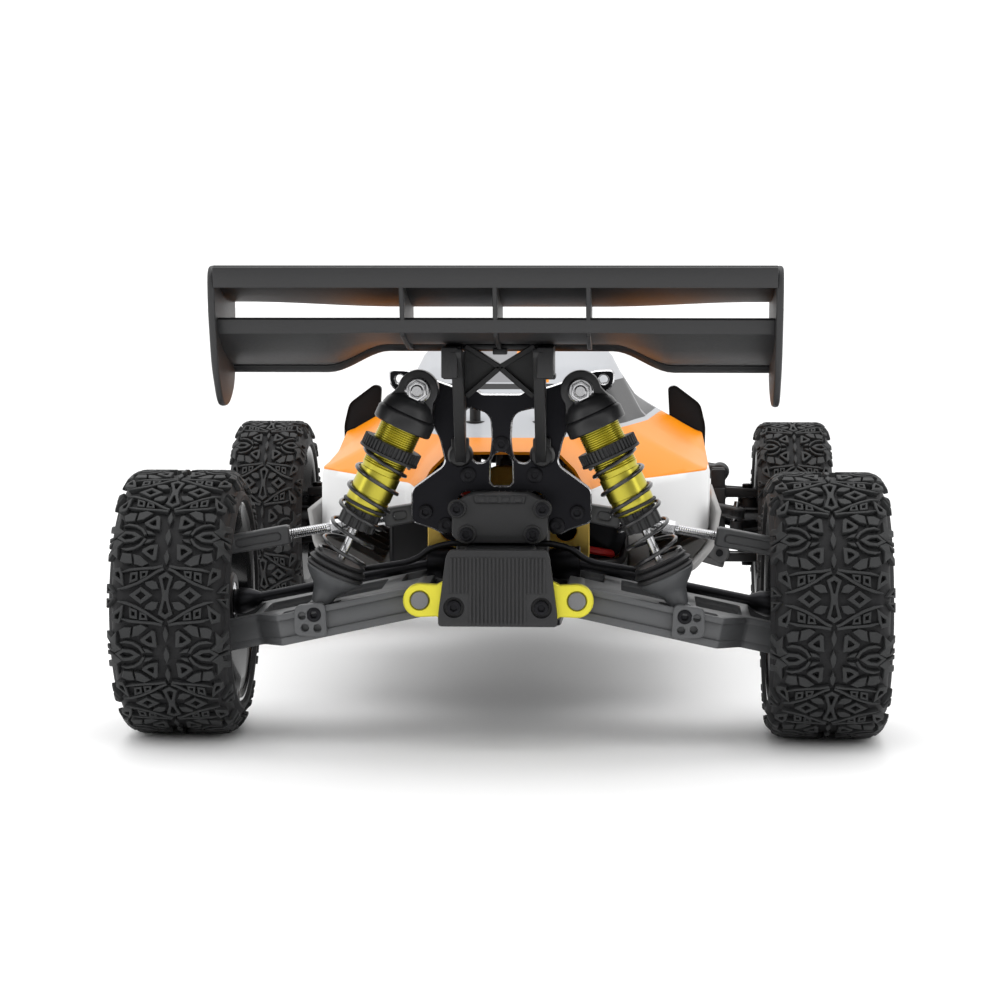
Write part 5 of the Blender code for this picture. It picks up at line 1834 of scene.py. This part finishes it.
silicone_red.bump(silicone_red.noise(300.0), 0.1, 0.0004)
silicone_red.set("Roughness", 0.36 + 0.12 * silicone_red.noise(200.0))
silicone_black = Finish("black silicone", (0.014, 0.014, 0.015), 0.46)
silicone_black.bump(silicone_black.noise(300.0), 0.1, 0.0004)
silicone_black.set("Roughness", 0.4 + 0.12 * silicone_black.noise(200.0))
for name, finish, points in (
    (
        "red_lead", silicone_red,
        [
            (-30, -76, 92), (-26, -92, 96), (-6, -98, 84), (18, -92, 70), (40, -84, 66),
            (46, -60, 62), (44, 16, 70)
        ]
    ),
    (
        "black_lead", silicone_black,
        [
            (-34, -76, 90), (-34, -96, 92), (-10, -104, 78), (16, -98, 64), (42, -90, 62),
            (50, -60, 60), (47, 16, 68)
        ]
    ),
    (
        "motor_lead_1", silicone_red,
        [(24.5, -77, 85), (24, -88, 88), (40, -86, 94), (52, -60, 92), (48, 10, 84), (44, 18, 82)]
    ),
    (
        "motor_lead_2", silicone_black,
        [(30.5, -77, 85), (31, -92, 90), (46, -86, 96), (55, -60, 92), (52, 10, 84), (46, 22, 80)]
    ),
):
    fitted(wire(name, points, 1.7), "chassis", "black_nylon", finish)

# Steering: a black alloy link that slides between two guide posts and moves both tie
# rods.

link_bar = [
    (-26, 141), (-20, 140.4), (20, 140.4), (26, 141), (26, 146), (20, 146.6), (-20, 146.6),
    (-26, 146)
]
ends = [circle(x, 143.5, 1.6, 16) for x in (-23, 23)]
bar = plate("ackermann_bar", rounded(link_bar, 1.5, 3), "XY", 73.2, 77.8, ends, 0.5)
fitted(bar, "steering_rack", "black_anodised", black_alloy, bright_edge, stands_for=["steering_link"])
bright_chamfers(bar, 2)
bell_cranks = [
    turned(
        "crank_post", [(0, 0), (0, 4.4), (2, 4.8), (16, 4.8), (18, 3.8), (18, 0)], (x, 126, 54),
        (0, 0, 1), 24
    )
    for x in (-16, 16)
]
fitted(joined("steering_posts", bell_cranks), "chassis", "black_nylon", black_nylon)

# Front bumper: a black nylon blade with a turned-up lip, ribbed underneath.

NOSE = 245.0
blade_side = [
    (213.8, 51), (232, 51.5), (241, 57), (NOSE, 67.6), (NOSE - 2.6, 69), (238, 60.2), (230.5, 55.6), (
        213.8, 55
    )
]
blade = plate("blade", rounded(blade_side, 1.2, 2), "YZ", -38, 38, chamfer=1.2, rounds=2)
braces = [
    plate(
        "brace", [(213.8, 54), (213.8, 66), (221, 65), (234, 57), (230, 54)], "YZ", x - 1.1,
        x + 1.1, chamfer=0.3
    )
    for x in (-30, -15, 0, 15, 30)
]
nose_block = slab("nose_block", (-14.6, 213.8, 52), (14.6, 226, 65.6), 1.5, 3)
bumper = joined("nose_bumper", [blade, *braces, nose_block])
fitted(bumper, "chassis", "black_nylon", black_nylon, stands_for=["front_bumper"])

# Anti-roll bars: black spring-steel wire, bent round each gearbox and joined to the
# arms by short drop links.

for end in ("rear", "front"):
    away = AWAY[end]
    middle = [(-20, away * 187.6, 80.5), (0, away * 187.6, 80.5), (20, away * 187.6, 80.5)]
    if end == "front":
        middle = [(x, y + 1.4, z) for x, y, z in middle]
    half = [
        (19, middle[2][1], 80.5), (27, middle[2][1], 79.5), (34, away * 189.0, 73.5), (
            46, away * 188.6, 71.5
        ),
        (62, away * 186, 68.5), (68, away * 178, 66), (69, away * 170, 65.5),
    ]
    drop = [(69, away * 172, 66.5), (69, away * 172, 54)]
    fitted(wire(f"{end}_roll_bar", middle, 1.25), "chassis", "black_steel", screw_steel)
    arm_half = joined("bar", [wire("bar", half, 1.25), wire("drop", drop, 1.5, smooth=False)])
    for side in ("left", "right"):
        flip = -1 if side == "left" else 1
        twin = copied(arm_half, f"{end}_roll_bar_arm_{side}", MIRROR_X if flip < 0 else None)
        twin.data.materials.append(screw_steel.material)
        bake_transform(twin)
    thrown_away(arm_half)

thrown_away(cap_screw, flat_screw, thin_screw)
